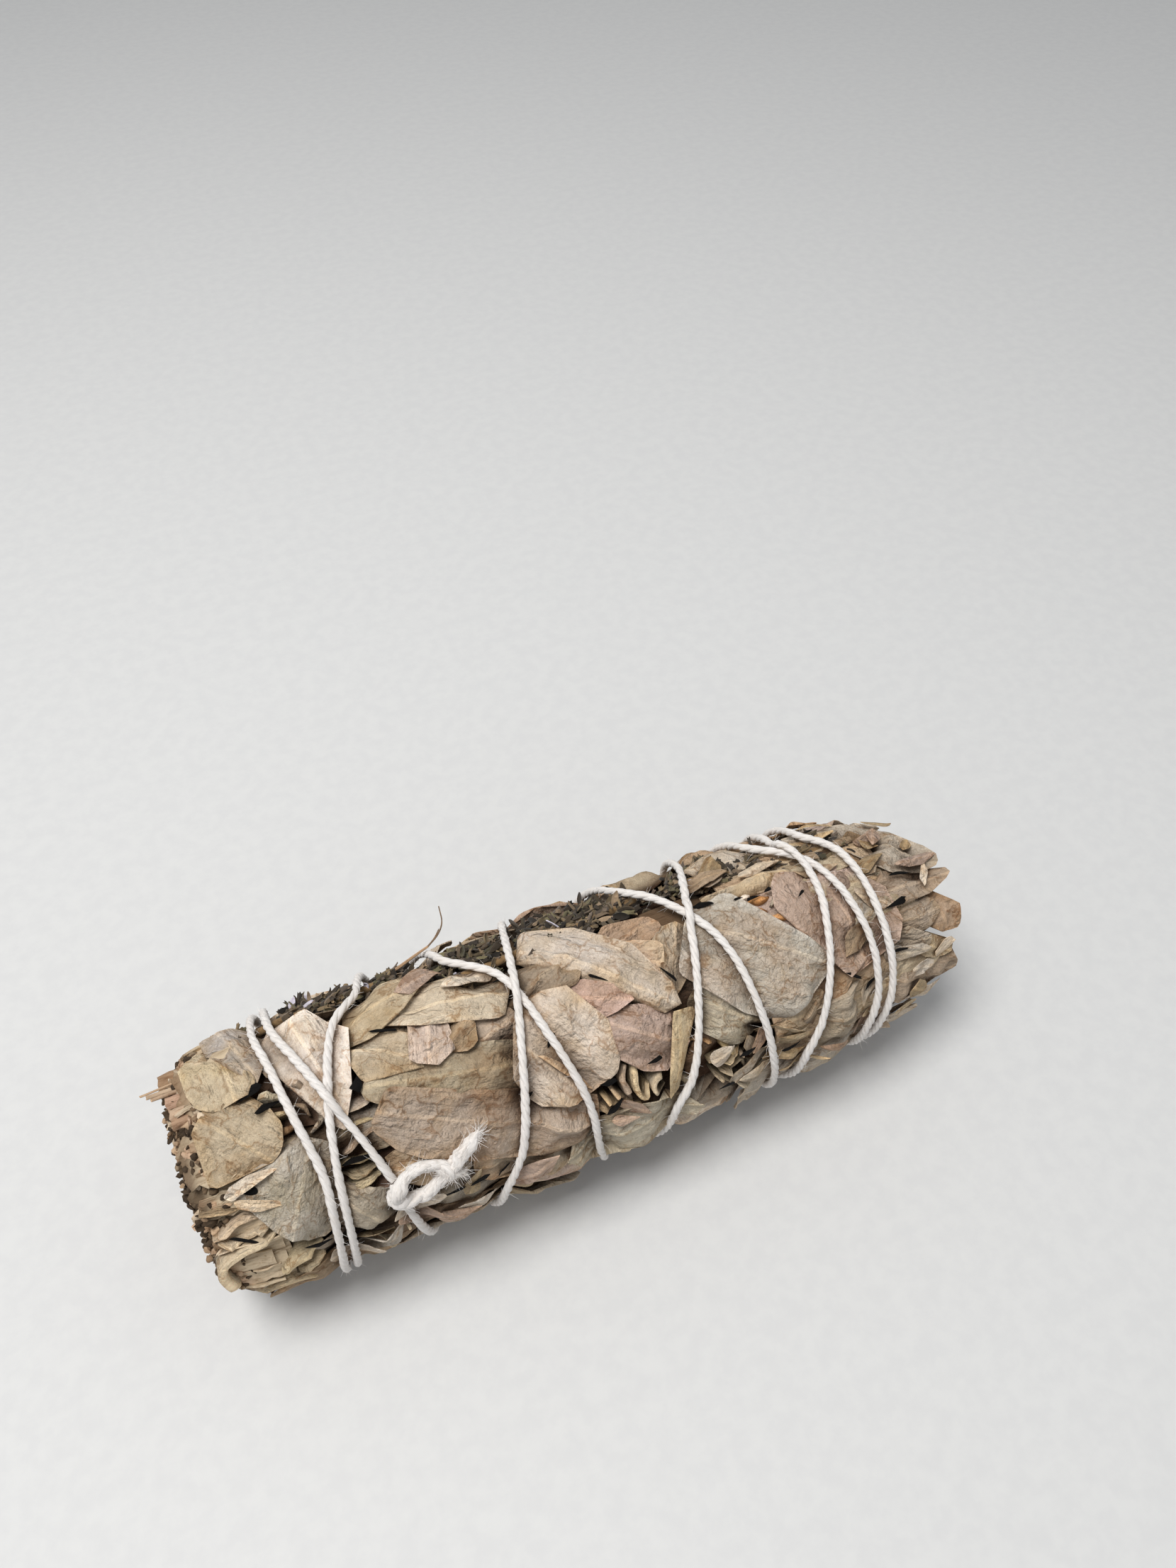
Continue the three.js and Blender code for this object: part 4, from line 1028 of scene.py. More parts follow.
EDGES = [
    # The thick folds at the lower left
    dict(path=[(2.5, 35), (5.2, 39), (7.9, 41), (10.4, 39)], width=1.3, tint=(196, 180, 155)),
    dict(path=[(2.9, 33), (5.2, 31), (7.9, 32), (11.7, 34.5)], width=1.6, tint=(205, 192, 165)),
    dict(path=[(3.2, 1), (2, 8), (1.6, 15), (2.6, 21), (4.8, 24.6), (8.2, 27.3), (11.9, 29)], width=1.8, tint=(206, 194, 166)),
    dict(path=[(10.5, 1), (12, 8.3), (14.7, 12.8), (18.4, 14.6)], width=1.7, tint=(196, 184, 152)),
    dict(path=[(13, -2), (15.5, 5), (18, 8)], width=1.4, tint=(180, 168, 140)),
    dict(path=[(5, -14), (8, -9), (13, -8), (17, -11)], width=1.4, tint=(188, 174, 144)),
    dict(path=[(1.6, 48), (5, 47), (8, 45.5)], width=1.1, tint=(170, 152, 122)),
    # Cream edges in the dark slots by the crossing
    dict(path=[(24.4, 46.5), (27.5, 45.6), (31, 45)], width=1.1, tint=(214, 198, 160), lift=-0.6),
    dict(path=[(24.8, 41.4), (27.6, 40.2), (30.6, 40.6)], width=1.0, tint=(160, 148, 122), lift=-0.9),
    dict(path=[(25.2, 35), (28, 36.4), (30.8, 36.4)], width=1.1, tint=(196, 184, 152), lift=-0.7),
    dict(path=[(26, 51), (29, 54), (32.5, 56), (34.5, 54)], width=1.0, tint=(176, 160, 140), lift=-0.5),
    dict(path=[(27, 60), (30, 61), (33, 60)], width=1.0, tint=(200, 186, 150), lift=-0.5),
    # In the dark opening under the leftmost strand
    dict(path=[(14.4, 80), (17, 77.4), (20, 76)], width=1.2, tint=(204, 188, 152), lift=-1.3),
    dict(path=[(15.4, 87.6), (17.6, 86), (20, 83)], width=1.7, tint=(186, 180, 158), lift=-1.0),
    dict(path=[(16, 70), (18.4, 69), (21, 70)], width=1.4, tint=(150, 124, 94), lift=-1.8),
    dict(path=[(20.8, 89.6), (23.5, 82.4), (25, 74), (24.6, 68), (22.3, 64)], width=1.3, tint=(172, 162, 146), lift=-0.4),
    dict(path=[(21, 79), (22.6, 76), (23, 71)], width=0.9, tint=(140, 124, 104), lift=-1.6),
    # The ruffled edges below the long pale leaf
    dict(path=[(78.4, 41), (77.3, 35), (77.2, 26), (78.6, 22), (79.6, 28)], width=1.0, tint=(196, 182, 150)),
    dict(path=[(80.3, 35.6), (82.1, 36), (82.7, 31), (80.8, 29), (80.3, 24.7), (81.8, 19.4), (83, 21)], width=0.9,
         tint=(198, 188, 164)),
    dict(path=[(76.2, 41), (75, 36), (75.4, 29), (76, 22)], width=1.2, tint=(166, 152, 134)),
    dict(path=[(72.6, 33), (73.4, 28), (75, 23), (76.4, 20)], width=1.0, tint=(184, 166, 138)),
    dict(path=[(69.4, 27), (71, 21), (73.4, 16), (75.6, 14)], width=1.1, tint=(176, 158, 128)),
    dict(path=[(71, 30), (73, 22), (75.6, 17), (78, 15.4)], width=0.9, tint=(196, 176, 140)),
    dict(path=[(79, 42), (81.6, 40), (84, 36), (86, 31)], width=0.9, tint=(150, 134, 114), lift=-0.6),
    dict(path=[(86.4, 22), (87.4, 16), (87, 10)], width=1.3, tint=(178, 168, 144)),
    dict(path=[(92, 40), (94.6, 38), (95.4, 31), (96.6, 25)], width=1.4, tint=(196, 180, 140)),
    dict(path=[(88.6, 38), (91, 37), (93, 34)], width=1.1, tint=(182, 150, 112), lift=-0.6),
    dict(path=[(91.8, 25), (95, 22.6), (98, 25), (101, 28.6)], width=0.9, tint=(180, 166, 136)),
    dict(path=[(92.6, 17), (94.6, 10), (96, 5)], width=0.9, tint=(168, 156, 132)),
    dict(path=[(93.6, 18), (96.2, 15.4), (98.6, 17.6), (99.4, 10), (101.4, 7), (103.6, 9)], width=0.8, tint=(188, 176, 150)),
    dict(path=[(98, 22), (100.4, 18), (103, 20), (105.6, 17)], width=0.9, tint=(176, 160, 136)),
    dict(path=[(101, 3), (103, 7), (106, 5), (108.6, 8)], width=0.9, tint=(172, 164, 144)),
    dict(path=[(97, 6), (98.6, 1), (100.6, -3)], width=0.9, tint=(184, 176, 154)),
    # Along the bottom edge of the front
    dict(path=[(20, -3), (22.4, 4), (23, 10)], width=1.2, tint=(176, 168, 146)),
    dict(path=[(25.4, 0), (26.4, 4), (29, 6.6)], width=1.0, tint=(178, 166, 142)),
    dict(path=[(30.8, 8), (31.6, 3), (33, -2)], width=1.1, tint=(184, 174, 150)),
    dict(path=[(34, 3), (38, 7), (40, 2)], width=1.0, tint=(188, 176, 150)),
    dict(path=[(36, 16), (40, 13), (45, 7)], width=1.0, tint=(178, 170, 148)),
    dict(path=[(40, -2), (43, 3), (47, 1), (52, 5)], width=0.9, tint=(172, 156, 130)),
    dict(path=[(52, 4), (55, 9), (58.6, 7), (62, 3)], width=1.0, tint=(178, 162, 138)),
    dict(path=[(54.6, 15), (57.4, 11), (60, 8.6)], width=0.8, tint=(150, 128, 102), lift=-0.6),
    dict(path=[(107, 22), (111, 17), (115.6, 15), (118, 18)], width=0.9, tint=(180, 170, 148)),
    dict(path=[(104, 32), (108, 26), (113, 25), (117, 30)], width=0.9, tint=(186, 178, 154)),
    # In the openings at the upper right and in the tips
    dict(path=[(110, 90), (112.4, 88), (114.6, 89.6)], width=1.4, tint=(186, 140, 92), lift=-1.2),
    dict(path=[(107.4, 86), (110, 84.6), (112.6, 82)], width=1.2, tint=(172, 130, 90), lift=-1.4),
    dict(path=[(113.6, 84), (115.4, 86.6), (117, 85), (116, 82)], width=0.9, tint=(196, 190, 172), lift=-0.8),
    dict(path=[(108.8, 92.6), (111, 93.4)], width=1.6, tint=(228, 222, 208), lift=-0.8),
    dict(path=[(111.6, 79), (114, 77), (116, 75.4)], width=1.4, tint=(204, 160, 112), lift=-0.9),
    dict(path=[(136.4, 56), (138, 58), (139.6, 56), (138.4, 53.4), (136.6, 53.6)], width=0.7, tint=(200, 184, 148), lift=-0.4),
    dict(path=[(104, 119), (108, 118), (113, 120), (118, 122)], width=0.8, tint=(90, 70, 50), lift=0.2),
]

# The narrow curled strip that runs down from the tip of the long pale leaf
RIBBON = dict(outline=[(87.3, 55), (89.4, 55), (90, 50), (88.7, 43), (87.6, 38), (85.7, 28), (84.9, 17), (82.6, 18),
                       (83.2, 26), (84.5, 33), (86.2, 43), (86.9, 50)],
              rib=[(88.4, 54), (83.8, 18)], tint=(194, 182, 152), second=(182, 166, 134), curl=0.5, ridge=-0.35,
              thickness=0.8, vein=0.2, depth=-0.4, wrinkle=0.1)


# The pale folds above and below the opening in the folded leaf at the lower left, and the
# tan midrib of the big leaf in the middle
TRIMS = [
    dict(outline=[(6.4, 53), (7.6, 56.4), (11, 58.2), (16, 57.4), (16, 55.4), (11.6, 55.6), (8.6, 53.8), (7.6, 50.4)],
         rib=[(7, 52), (16, 56.4)], tint=(212, 205, 188), depth=-0.5),
    dict(outline=[(7.4, 50.6), (8.6, 50), (10.6, 47.4), (13.4, 45.6), (15.4, 42.6), (14, 41.6), (10.6, 43.4), (7.8, 46.6)],
         rib=[(8, 49), (15, 42)], tint=(204, 196, 178), depth=-0.5),
    dict(outline=[(61.8, 59), (62.6, 59.4), (66.2, 50), (69.8, 38), (69.6, 34.6), (68.6, 37.6), (65.0, 49)],
         rib=[(62, 59), (69.6, 35)], tint=(192, 174, 148), depth=-0.2),
]


def stand_edges():
    for i, edge in enumerate(EDGES):
        stand_edge(seed=700 + 7 * i, **edge)
    rng = np.random.default_rng(77)
    for i in range(90):
        distance, angle = rng.uniform(8, 136), rng.uniform(150, 352)
        lean = math.radians(rng.uniform(-50, 50))
        half = rng.uniform(1.5, 4)
        reach = np.array([math.cos(lean), math.sin(lean) / ARC])
        path = [(distance, angle) + side * half * reach + rng.uniform(-0.8, 0.8, 2) for side in (-1, 0, 1)]
        tint, _ = drawn_colours(rng)
        stand_edge(path, rng.uniform(0.6, 1.2), tint, 1400 + 5 * i, lift=rng.uniform(-1.2, -0.2))


# The sawn end: stems and leaf stubs in a rough dome

def shoulder(distance):
    return RADIUS * (0.68 + 0.2 * math.sqrt(min(max(distance / 9, 0), 1)))


RIM_STUBS = 76
STUB_RINGS = (16.6, 14.6, 12.6, 10.6, 8.6, 6.6, 4.6, 2.6)
STUBS_PER_MM = 1.9
SAWN_STEMS = 15
CRUMBS = 1100

# The stems that stand out at the top of the sawn end: distance, angle, radius, thickness,
# colour and length
TOP_STEMS = [
    (1.2, 109, 18.4, 1.5, (160, 136, 116), 9),
    (1.4, 101, 18.8, 1.2, (168, 150, 128), 9),
    (1.6, 94, 19.0, 1.0, (146, 124, 102), 8),
    (-2.2, 119, 19.4, 0.4, (160, 144, 122), 7),
    (-1.4, 113, 20.0, 0.34, (154, 136, 114), 7),
    (-2.7, 121, 19.7, 0.2, (170, 150, 124), 7),
]

STEM_COLOURS = [(156, 134, 108), (170, 150, 124), (136, 114, 90), (164, 140, 122)]
PITH_COLOUR = (206, 178, 138)
DARK_CRUMB = (66, 56, 44)
SAWN_COLOURS = [(146, 126, 102), (124, 106, 84), (164, 144, 118), (104, 90, 72), (176, 154, 130), (84, 72, 56),
                (138, 124, 102), (156, 136, 112), (178, 166, 144)]


def stub(distance, angle, radius, half_width, turn, colour, seed, length=9.0, climb=0.0):
    """The sawn stub of a curled leaf, running along the bundle."""
    rng = np.random.default_rng(seed)
    along = np.linspace(0, length, 8)
    reach = radius + climb * np.sqrt(along / length)
    rib = on_bundle(distance + along, angle + rng.uniform(-2, 2) * along / length, reach)
    out = away_from_axis(np.full(8, angle + turn))
    side = np.cross(out, (1.0, 0, 0))
    widths = half_width * (1 + 0.2 * rng.uniform(-1, 1, 8))
    widths[0] *= rng.uniform(0.3, 0.9)
    points, triangles, uv = blade(rib, side, out, widths, cup=rng.uniform(-0.5, 0.35), columns=7, wrinkle=0.3,
                                  thickness=rng.uniform(0.45, 0.8), seed=seed)
    ragged = np.clip(1 - (points[:, 0] + LENGTH / 2 - distance) / 3, 0, 1)
    points[:, 0] += 0.9 * noise(points[:, 1:] / 1.1, seed + 1) * ragged
    shade = 1 + 0.16 * noise(points / 1.4, seed + 2)
    clean = np.clip((points[:, 0] + LENGTH / 2 - distance - 1.2) / 2.5, 0, 0.8)[:, None]
    tint = linear(colour) * (1 - clean) + linear(CREAM) * 0.8 * clean
    tint = with_vein(tint * shade[:, None], 0.4)
    sprig_at(angle).add(points, triangles, tint, uv + (7.0 * (seed % 89), 0), STEM_KIND)


def woody_stem(distance, angle, radius, thick, colour, seed, length=16.0):
    rng = np.random.default_rng(seed)
    along = np.linspace(0, length, 9)
    path = on_bundle(distance + along, angle + rng.uniform(-3, 3) * along / length, radius + 0 * along)
    rings = tube_rings(path, thick, 12)
    uneven = noise(rings.reshape(-1, 3) * (0.3, 1.1, 1.1), seed)
    rings = rings + 0.16 * thick * uneven.reshape(*rings.shape[:2], 1)
    rings[0, :, 0] += 0.5 * noise(rings[0] / 0.8, seed + 1)
    points, triangles = loft(rings)
    shade = 1 + 0.12 * noise(points / 1.2, seed + 2)
    tint = with_vein(linear(colour) * shade[:, None], 0.0)
    tint[-2, :3] = linear(PITH_COLOUR)
    sprig_at(angle).add(points, triangles, tint, None, STEM_KIND)


def crumb(place, size, colour, seed):
    """A small broken bit with uneven faces."""
    rng = np.random.default_rng(seed)
    turn = np.linspace(0, 2 * math.pi, 6, endpoint=False)
    rings = []
    for level, wide in ((-0.9, 0.45), (-0.3, 1.0), (0.35, 0.95), (0.9, 0.4)):
        reach = size * wide * rng.uniform(0.7, 1.25, 6)
        rings.append(np.stack([size * level * np.ones(6), reach * np.cos(turn), reach * np.sin(turn)], 1))
    points, triangles = loft(np.array(rings))
    axis = Vector(rng.normal(size=3)).normalized()
    spin = np.array(Matrix.Rotation(rng.uniform(0, 6), 3, axis))
    stretch = rng.uniform(0.3, 1.5, 3)
    points = (points * stretch) @ spin.T + place
    tint = np.append(linear(colour) * rng.uniform(0.7, 1.2), 0.0)
    return points, triangles, tint


def rim_stubs(rng):
    """Leaf stubs round the edge of the sawn end, climbing to the outer leaves."""
    for i in range(RIM_STUBS):
        start = rng.uniform(0.2, 3.2)
        colour = pick(SAWN_COLOURS, rng)
        stub(start, i * GOLDEN_ANGLE, shoulder(start) + rng.uniform(-0.6, 0.8), rng.uniform(1.4, 3.8),
             rng.uniform(-22, 22), colour, 4100 + 5 * i, length=rng.uniform(8, 12), climb=rng.uniform(1.6, 2.8))


def inner_stubs(rng):
    for ring, radius in enumerate(STUB_RINGS):
        count = int(radius * STUBS_PER_MM) + 3
        for i in range(count):
            angle = (i + rng.uniform(-0.3, 0.3)) * 360 / count
            colour = pick(SAWN_COLOURS, rng)
            stub(rng.uniform(0.1, 1.8), angle, radius + rng.uniform(-0.8, 0.8), rng.uniform(1.2, 3),
                 rng.uniform(-45, 45), colour, 4600 + 100 * ring + i)


def sawn_stems(rng):
    for i in range(SAWN_STEMS):
        radius = rng.uniform(3, 18)
        colour = STEM_COLOURS[i % len(STEM_COLOURS)]
        woody_stem(rng.uniform(-0.4, 1.0), i * GOLDEN_ANGLE + 30, radius, rng.uniform(0.9, 2.3), colour, 5200 + 3 * i)
    for i, (distance, angle, radius, thick, colour, length) in enumerate(TOP_STEMS):
        woody_stem(distance, angle, radius, thick, colour, 5301 + i, length)


def crumbs(rng):
    """Broken bits over the sawn face and its edge."""
    for i in range(CRUMBS):
        angle = rng.uniform(0, 360)
        if i % 3 == 0:
            distance, radius = rng.uniform(0, 2.4), 17.5 * math.sqrt(rng.uniform())
        else:
            distance = rng.uniform(0.0, 6.5)
            radius = shoulder(distance) + rng.uniform(-0.6, 0.4) + 0.25 * distance * rng.uniform()
        dark = rng.uniform() < 0.45
        colour = DARK_CRUMB if dark else pick(SAWN_COLOURS, rng)
        place = on_bundle(distance, angle, radius)
        sprig_at(angle).add(*crumb(place, rng.uniform(0.3, 0.9), colour, 5600 + i), None, STEM_KIND)


def sawn_end():
    rng = np.random.default_rng(41)
    rim_stubs(rng)
    inner_stubs(rng)
    sawn_stems(rng)
    crumbs(rng)


# The narrow end: leaf tips packed in rings

TIP_START = 106
TIP_RINGS = (0.92, 0.83, 0.73, 0.62, 0.5, 0.38, 0.25, 0.12)
TIPS_IN_WIDEST_RING = 14


def tip_leaves():
    rng = np.random.default_rng(51)
    for ring, scale in enumerate(TIP_RINGS):
        count = max(3, int(round(TIPS_IN_WIDEST_RING * scale)))
        for i in range(count):
            angle = (i + 0.5 * (ring % 2) + rng.uniform(-0.2, 0.2)) * 360 / count
            end = rng.uniform(139, 149) - (2.5 if ring == 0 else 0)
            along = np.linspace(TIP_START, end, 20)
            share = (along - TIP_START) / (end - TIP_START)
            close = 1 - 0.1 * np.maximum(0, share - 0.6) ** 2 + rng.uniform(-0.06, 0.08) * share ** 3
            radius = bundle_radius(along) * scale * close
            turn = angle + rng.uniform(-14, 14) * share
            rib = on_bundle(along, turn, radius)
            out = away_from_axis(turn)
            side = np.cross(out, (1.0, 0, 0))
            half = rng.uniform(5.5, 8.5) * (0.5 + 0.5 * scale)
            widths = half * np.sin(np.pi * (0.3 + 0.66 * share)) ** 0.6
            cup = -half / (2 * np.maximum(radius.mean(), 4)) + rng.uniform(-0.25, 0.15)
            points, triangles, uv = blade(rib, side, out, widths, cup=cup, columns=9, wrinkle=0.35,
                                          seed=6000 + 40 * ring + i)
            points += out.mean(0) * (0.8 * noise(points / 4.5, 6200 + 20 * ring + i))[:, None]
            tint, second = drawn_colours(rng)
            blend = np.clip(0.5 + noise(points / 4, 6300 + i), 0, 1)[:, None]
            colour = (linear(tint) * (1 - blend) + linear(second) * blend) * 0.92
            uv = uv * (1.9, 1) + (13.0 * i, 0)
            sprig_at(angle).add(points, triangles, with_vein(colour, 0.6), uv, LEAF_KIND)


# Herb sprays

HERB_COLOURS = [(86, 76, 56), (58, 50, 38), (102, 90, 68), (44, 38, 30), (118, 104, 84), (80, 72, 62),
                (88, 84, 62)]
HERB_STEM_COLOUR = (112, 92, 62)
FLORET_COLOUR = (166, 166, 176)

# Bits per millimetre of a head: calyxes first, then leaves up to LEAF_BITS, then florets
HEAD_BITS = 26
CALYX_BITS = 14
LEAF_BITS = 24
FLORET_SHARE = 0.09
STRING_ROOM = 2.4


def calyx(root, direction, length, wide, seed):
    """A dried calyx: a ribbed spindle with an open, toothed mouth."""
    rng = np.random.default_rng(seed)
    direction = direction / np.linalg.norm(direction)
    bend = rng.normal(size=3) * 0.12
    share = np.array([0, 0.12, 0.4, 0.75, 1.0, 0.9])
    girth = np.array([0.25, 0.75, 1.0, 0.8, 1.0, 0.55]) * wide
    path = root + direction * (share * length)[:, None] + bend * (share ** 2 * length)[:, None]
    side = np.cross(direction, (0.3, 0.2, 0.93))
    side /= np.linalg.norm(side)
    up = np.cross(direction, side)
    turn = np.linspace(0, 2 * math.pi, 8, endpoint=False)
    ribbed = girth[:, None] * (1 + 0.16 * np.cos(4 * turn))[None, :]
    rings = (path[:, None, :] + (ribbed * np.cos(turn))[:, :, None] * side
             + (ribbed * np.sin(turn))[:, :, None] * up)
    rings[4] += direction * (0.3 * length * np.maximum(0, np.cos(4 * turn)))[:, None] * 0.5
    return loft(rings)


def small_leaf(root, direction, length, half_width, seed):
    """A small dry leaf, curled along its length."""
    rng = np.random.default_rng(seed)
    direction = direction / np.linalg.norm(direction)
    side = np.cross(direction, rng.normal(size=3))
    side /= np.linalg.norm(side)
    normal = np.cross(direction, side)
    share = np.linspace(0, 1, 7)
    curl = rng.uniform(-0.5, 0.5)
    rib = root + direction * (share * length)[:, None] + normal * (curl * share ** 2 * length)[:, None]
    widths = half_width * np.sin(np.pi * (0.08 + 0.88 * share)) ** 0.8
    return blade(rib, np.repeat(side[None], 7, 0), np.repeat(normal[None], 7, 0), widths,
                 cup=rng.uniform(-0.8, 0.8), thickness=0.3, columns=5, wrinkle=0.25, seed=seed)


def herb_spray(k, spray):
    piece = Piece(f"herb_stems_{k + 1}")
    rng = np.random.default_rng(300 + k)
    stem = even_path(smooth_path(spray["stem"], 1), 1.0)
    radius = bundle_radius(stem[:, 0]) - stem[:, 2]
    path = even_path(on_bundle(stem[:, 0], stem[:, 1], radius), 1.0)
    points, triangles = loft(tube_rings(path, 0.8, 8))
    piece.add(points, triangles, tinted(HERB_STEM_COLOUR))
    first, last = spray["head"]
    inside_head = (path[:, 0] + LENGTH / 2 > first) & (path[:, 0] + LENGTH / 2 < last)
    runs = tangents(path)
    centre = np.array([0, AXIS_Y, AXIS_HEIGHT])
    for i in np.flatnonzero(inside_head):
        out = path[i] - centre
        out[0] = 0
        out /= np.linalg.norm(out)
        across = np.cross(runs[i], out)
        for j in range(HEAD_BITS):
            turn = math.radians(rng.uniform(-100, 100))
            spread = out * math.cos(turn) + across * math.sin(turn)
            direction = runs[i] * rng.uniform(-0.3, 1.2)
            direction = direction + spread * rng.uniform(-0.15, 0.4) + across * rng.uniform(-0.6, 0.6)
            aside = rng.uniform(-9.0, 3.8)
            root = path[i] + across * aside + out * (rng.uniform(-1.4, 1.2) - 0.02 * aside ** 2)
            root = root + runs[i] * rng.uniform(-1, 1)
            colour = np.array(pick(HERB_COLOURS, rng))
            seed = 8000 + 3000 * k + HEAD_BITS * i + j
            if np.linalg.norm(string_centre - root - out, axis=1).min() < STRING_ROOM:
                continue
            if j < CALYX_BITS:
                made = calyx(root, direction, rng.uniform(1.2, 2.4), rng.uniform(0.3, 0.6), seed)
                piece.add(*made, tinted(colour * rng.uniform(0.6, 1.2)))
            elif j < LEAF_BITS:
                bit = small_leaf(root, direction, rng.uniform(1.2, 3.6), rng.uniform(0.25, 0.8), seed)
                piece.add(*bit[:2], tinted(colour * rng.uniform(0.6, 1.25)), bit[2])
            elif rng.uniform() < FLORET_SHARE:
                bit = small_leaf(root + out * 1.2, direction + spread, rng.uniform(1.4, 2.6), 0.6, seed)
                piece.add(*bit[:2], tinted(FLORET_COLOUR), bit[2])
    return piece


# A forked dry twig that stands up behind the string

TWIG_FOOT = (45.8, 137)


def twigs(piece):
    foot = on_bundle(*TWIG_FOOT, RADIUS - 0.5)
    stalk = foot + np.array([(-2.0, 0.0, -1.0), (0, 0, 0), (3.2, 0.3, 1.3), (6.2, 0.6, 2.4)])
    tall = stalk[3] + np.array([(0, 0, 0), (2.4, 0.8, 1.5), (3.8, 2.0, 3.2), (4.2, 4.4, 5.0)])
    short = stalk[3] + np.array([(0, 0, 0), (1.6, 0.6, 1.0), (2.9, 1.4, 2.2)])
    branches = [(stalk, 0.36, (146, 122, 94)), (tall, 0.18, (104, 88, 68)), (short, 0.16, (108, 90, 70))]
    for points, thick, colour in branches:
        path = even_path(smooth_path(points, 0.4), 0.4)
        made = loft(tube_rings(path, thick * np.linspace(1.0, 0.6, len(path)), 6))
        piece.add(*made, tinted(colour))


# Materials

class Shader:
    """A material's node tree, with short calls for the nodes that it uses."""

    def __init__(self, name):
        self.material = bpy.data.materials.new(name)
        self.material.use_nodes = True
        self.tree = self.material.node_tree
        self.surface = self.tree.nodes["Principled BSDF"]

    def node(self, kind, inputs=(), **settings):
        made = self.tree.nodes.new(kind)
        for key, value in settings.items():
            setattr(made, key, value)
        for socket, value in inputs:
            self.give(made.inputs[socket], value)
        return made

    def give(self, socket, value):
        if hasattr(value, "is_output"):
            self.tree.links.new(value, socket)
        else:
            socket.default_value = value

    def math(self, operation, a, b=0.0):
        return self.node("ShaderNodeMath", [(0, a), (1, b)], operation=operation).outputs[0]

    def times(self, a, b):
        return self.math("MULTIPLY", a, b)

    def total(self, *values):
        added = values[0]
        for value in values[1:]:
            added = self.math("ADD", added, value)
        return added

    def mix(self, share, a, b, blend="MIX"):
        made = self.node("ShaderNodeMix", [(0, share), (6, a), (7, b)], data_type="RGBA", blend_type=blend)
        return made.outputs[2]

    def toned(self, colour, factors):
        """The colour with its channels multiplied."""
        return self.mix(1.0, colour, (*factors, 1), "MULTIPLY")

    def tint(self):
        return self.node("ShaderNodeAttribute", attribute_name="tint")

    def own_uv(self):
        return self.node("ShaderNodeUVMap", uv_map="UVMap").outputs[0]

    def place(self):
        return self.node("ShaderNodeTexCoord").outputs["Object"]

    def stretched(self, where, scale):
        return self.node("ShaderNodeMapping", [("Vector", where), ("Scale", scale)]).outputs[0]

    def cells(self, where, scale):
        """How far each place is from the nearest line of a net of cells."""
        return self.node("ShaderNodeTexVoronoi", [("Vector", where), ("Scale", scale), ("Randomness", 1.0)],
                         feature="DISTANCE_TO_EDGE").outputs[0]

    def noise(self, where, scale, detail=3.0, rough=0.6):
        made = self.node("ShaderNodeTexNoise", [("Vector", where), ("Scale", scale), ("Detail", detail),
                                                ("Roughness", rough)])
        return made.outputs["Fac"]

    def ramp(self, value, low, high, first=0.0, last=1.0):
        made = self.node("ShaderNodeMapRange", [(0, value), (1, low), (2, high), (3, first), (4, last)],
                         interpolation_type="SMOOTHSTEP")
        return made.outputs[0]

    def bump(self, height, strength, distance):
        inputs = [("Strength", strength), ("Distance", distance), ("Height", height)]
        return self.node("ShaderNodeBump", inputs).outputs[0]

    def finish(self, inputs):
        """Gives the surface its colour, bump and plain numbers, and returns the material."""
        for name, value in inputs.items():
            self.give(self.surface.inputs[name], value)
        return self.material


def colour4(colour):
    return (*linear(colour), 1.0)


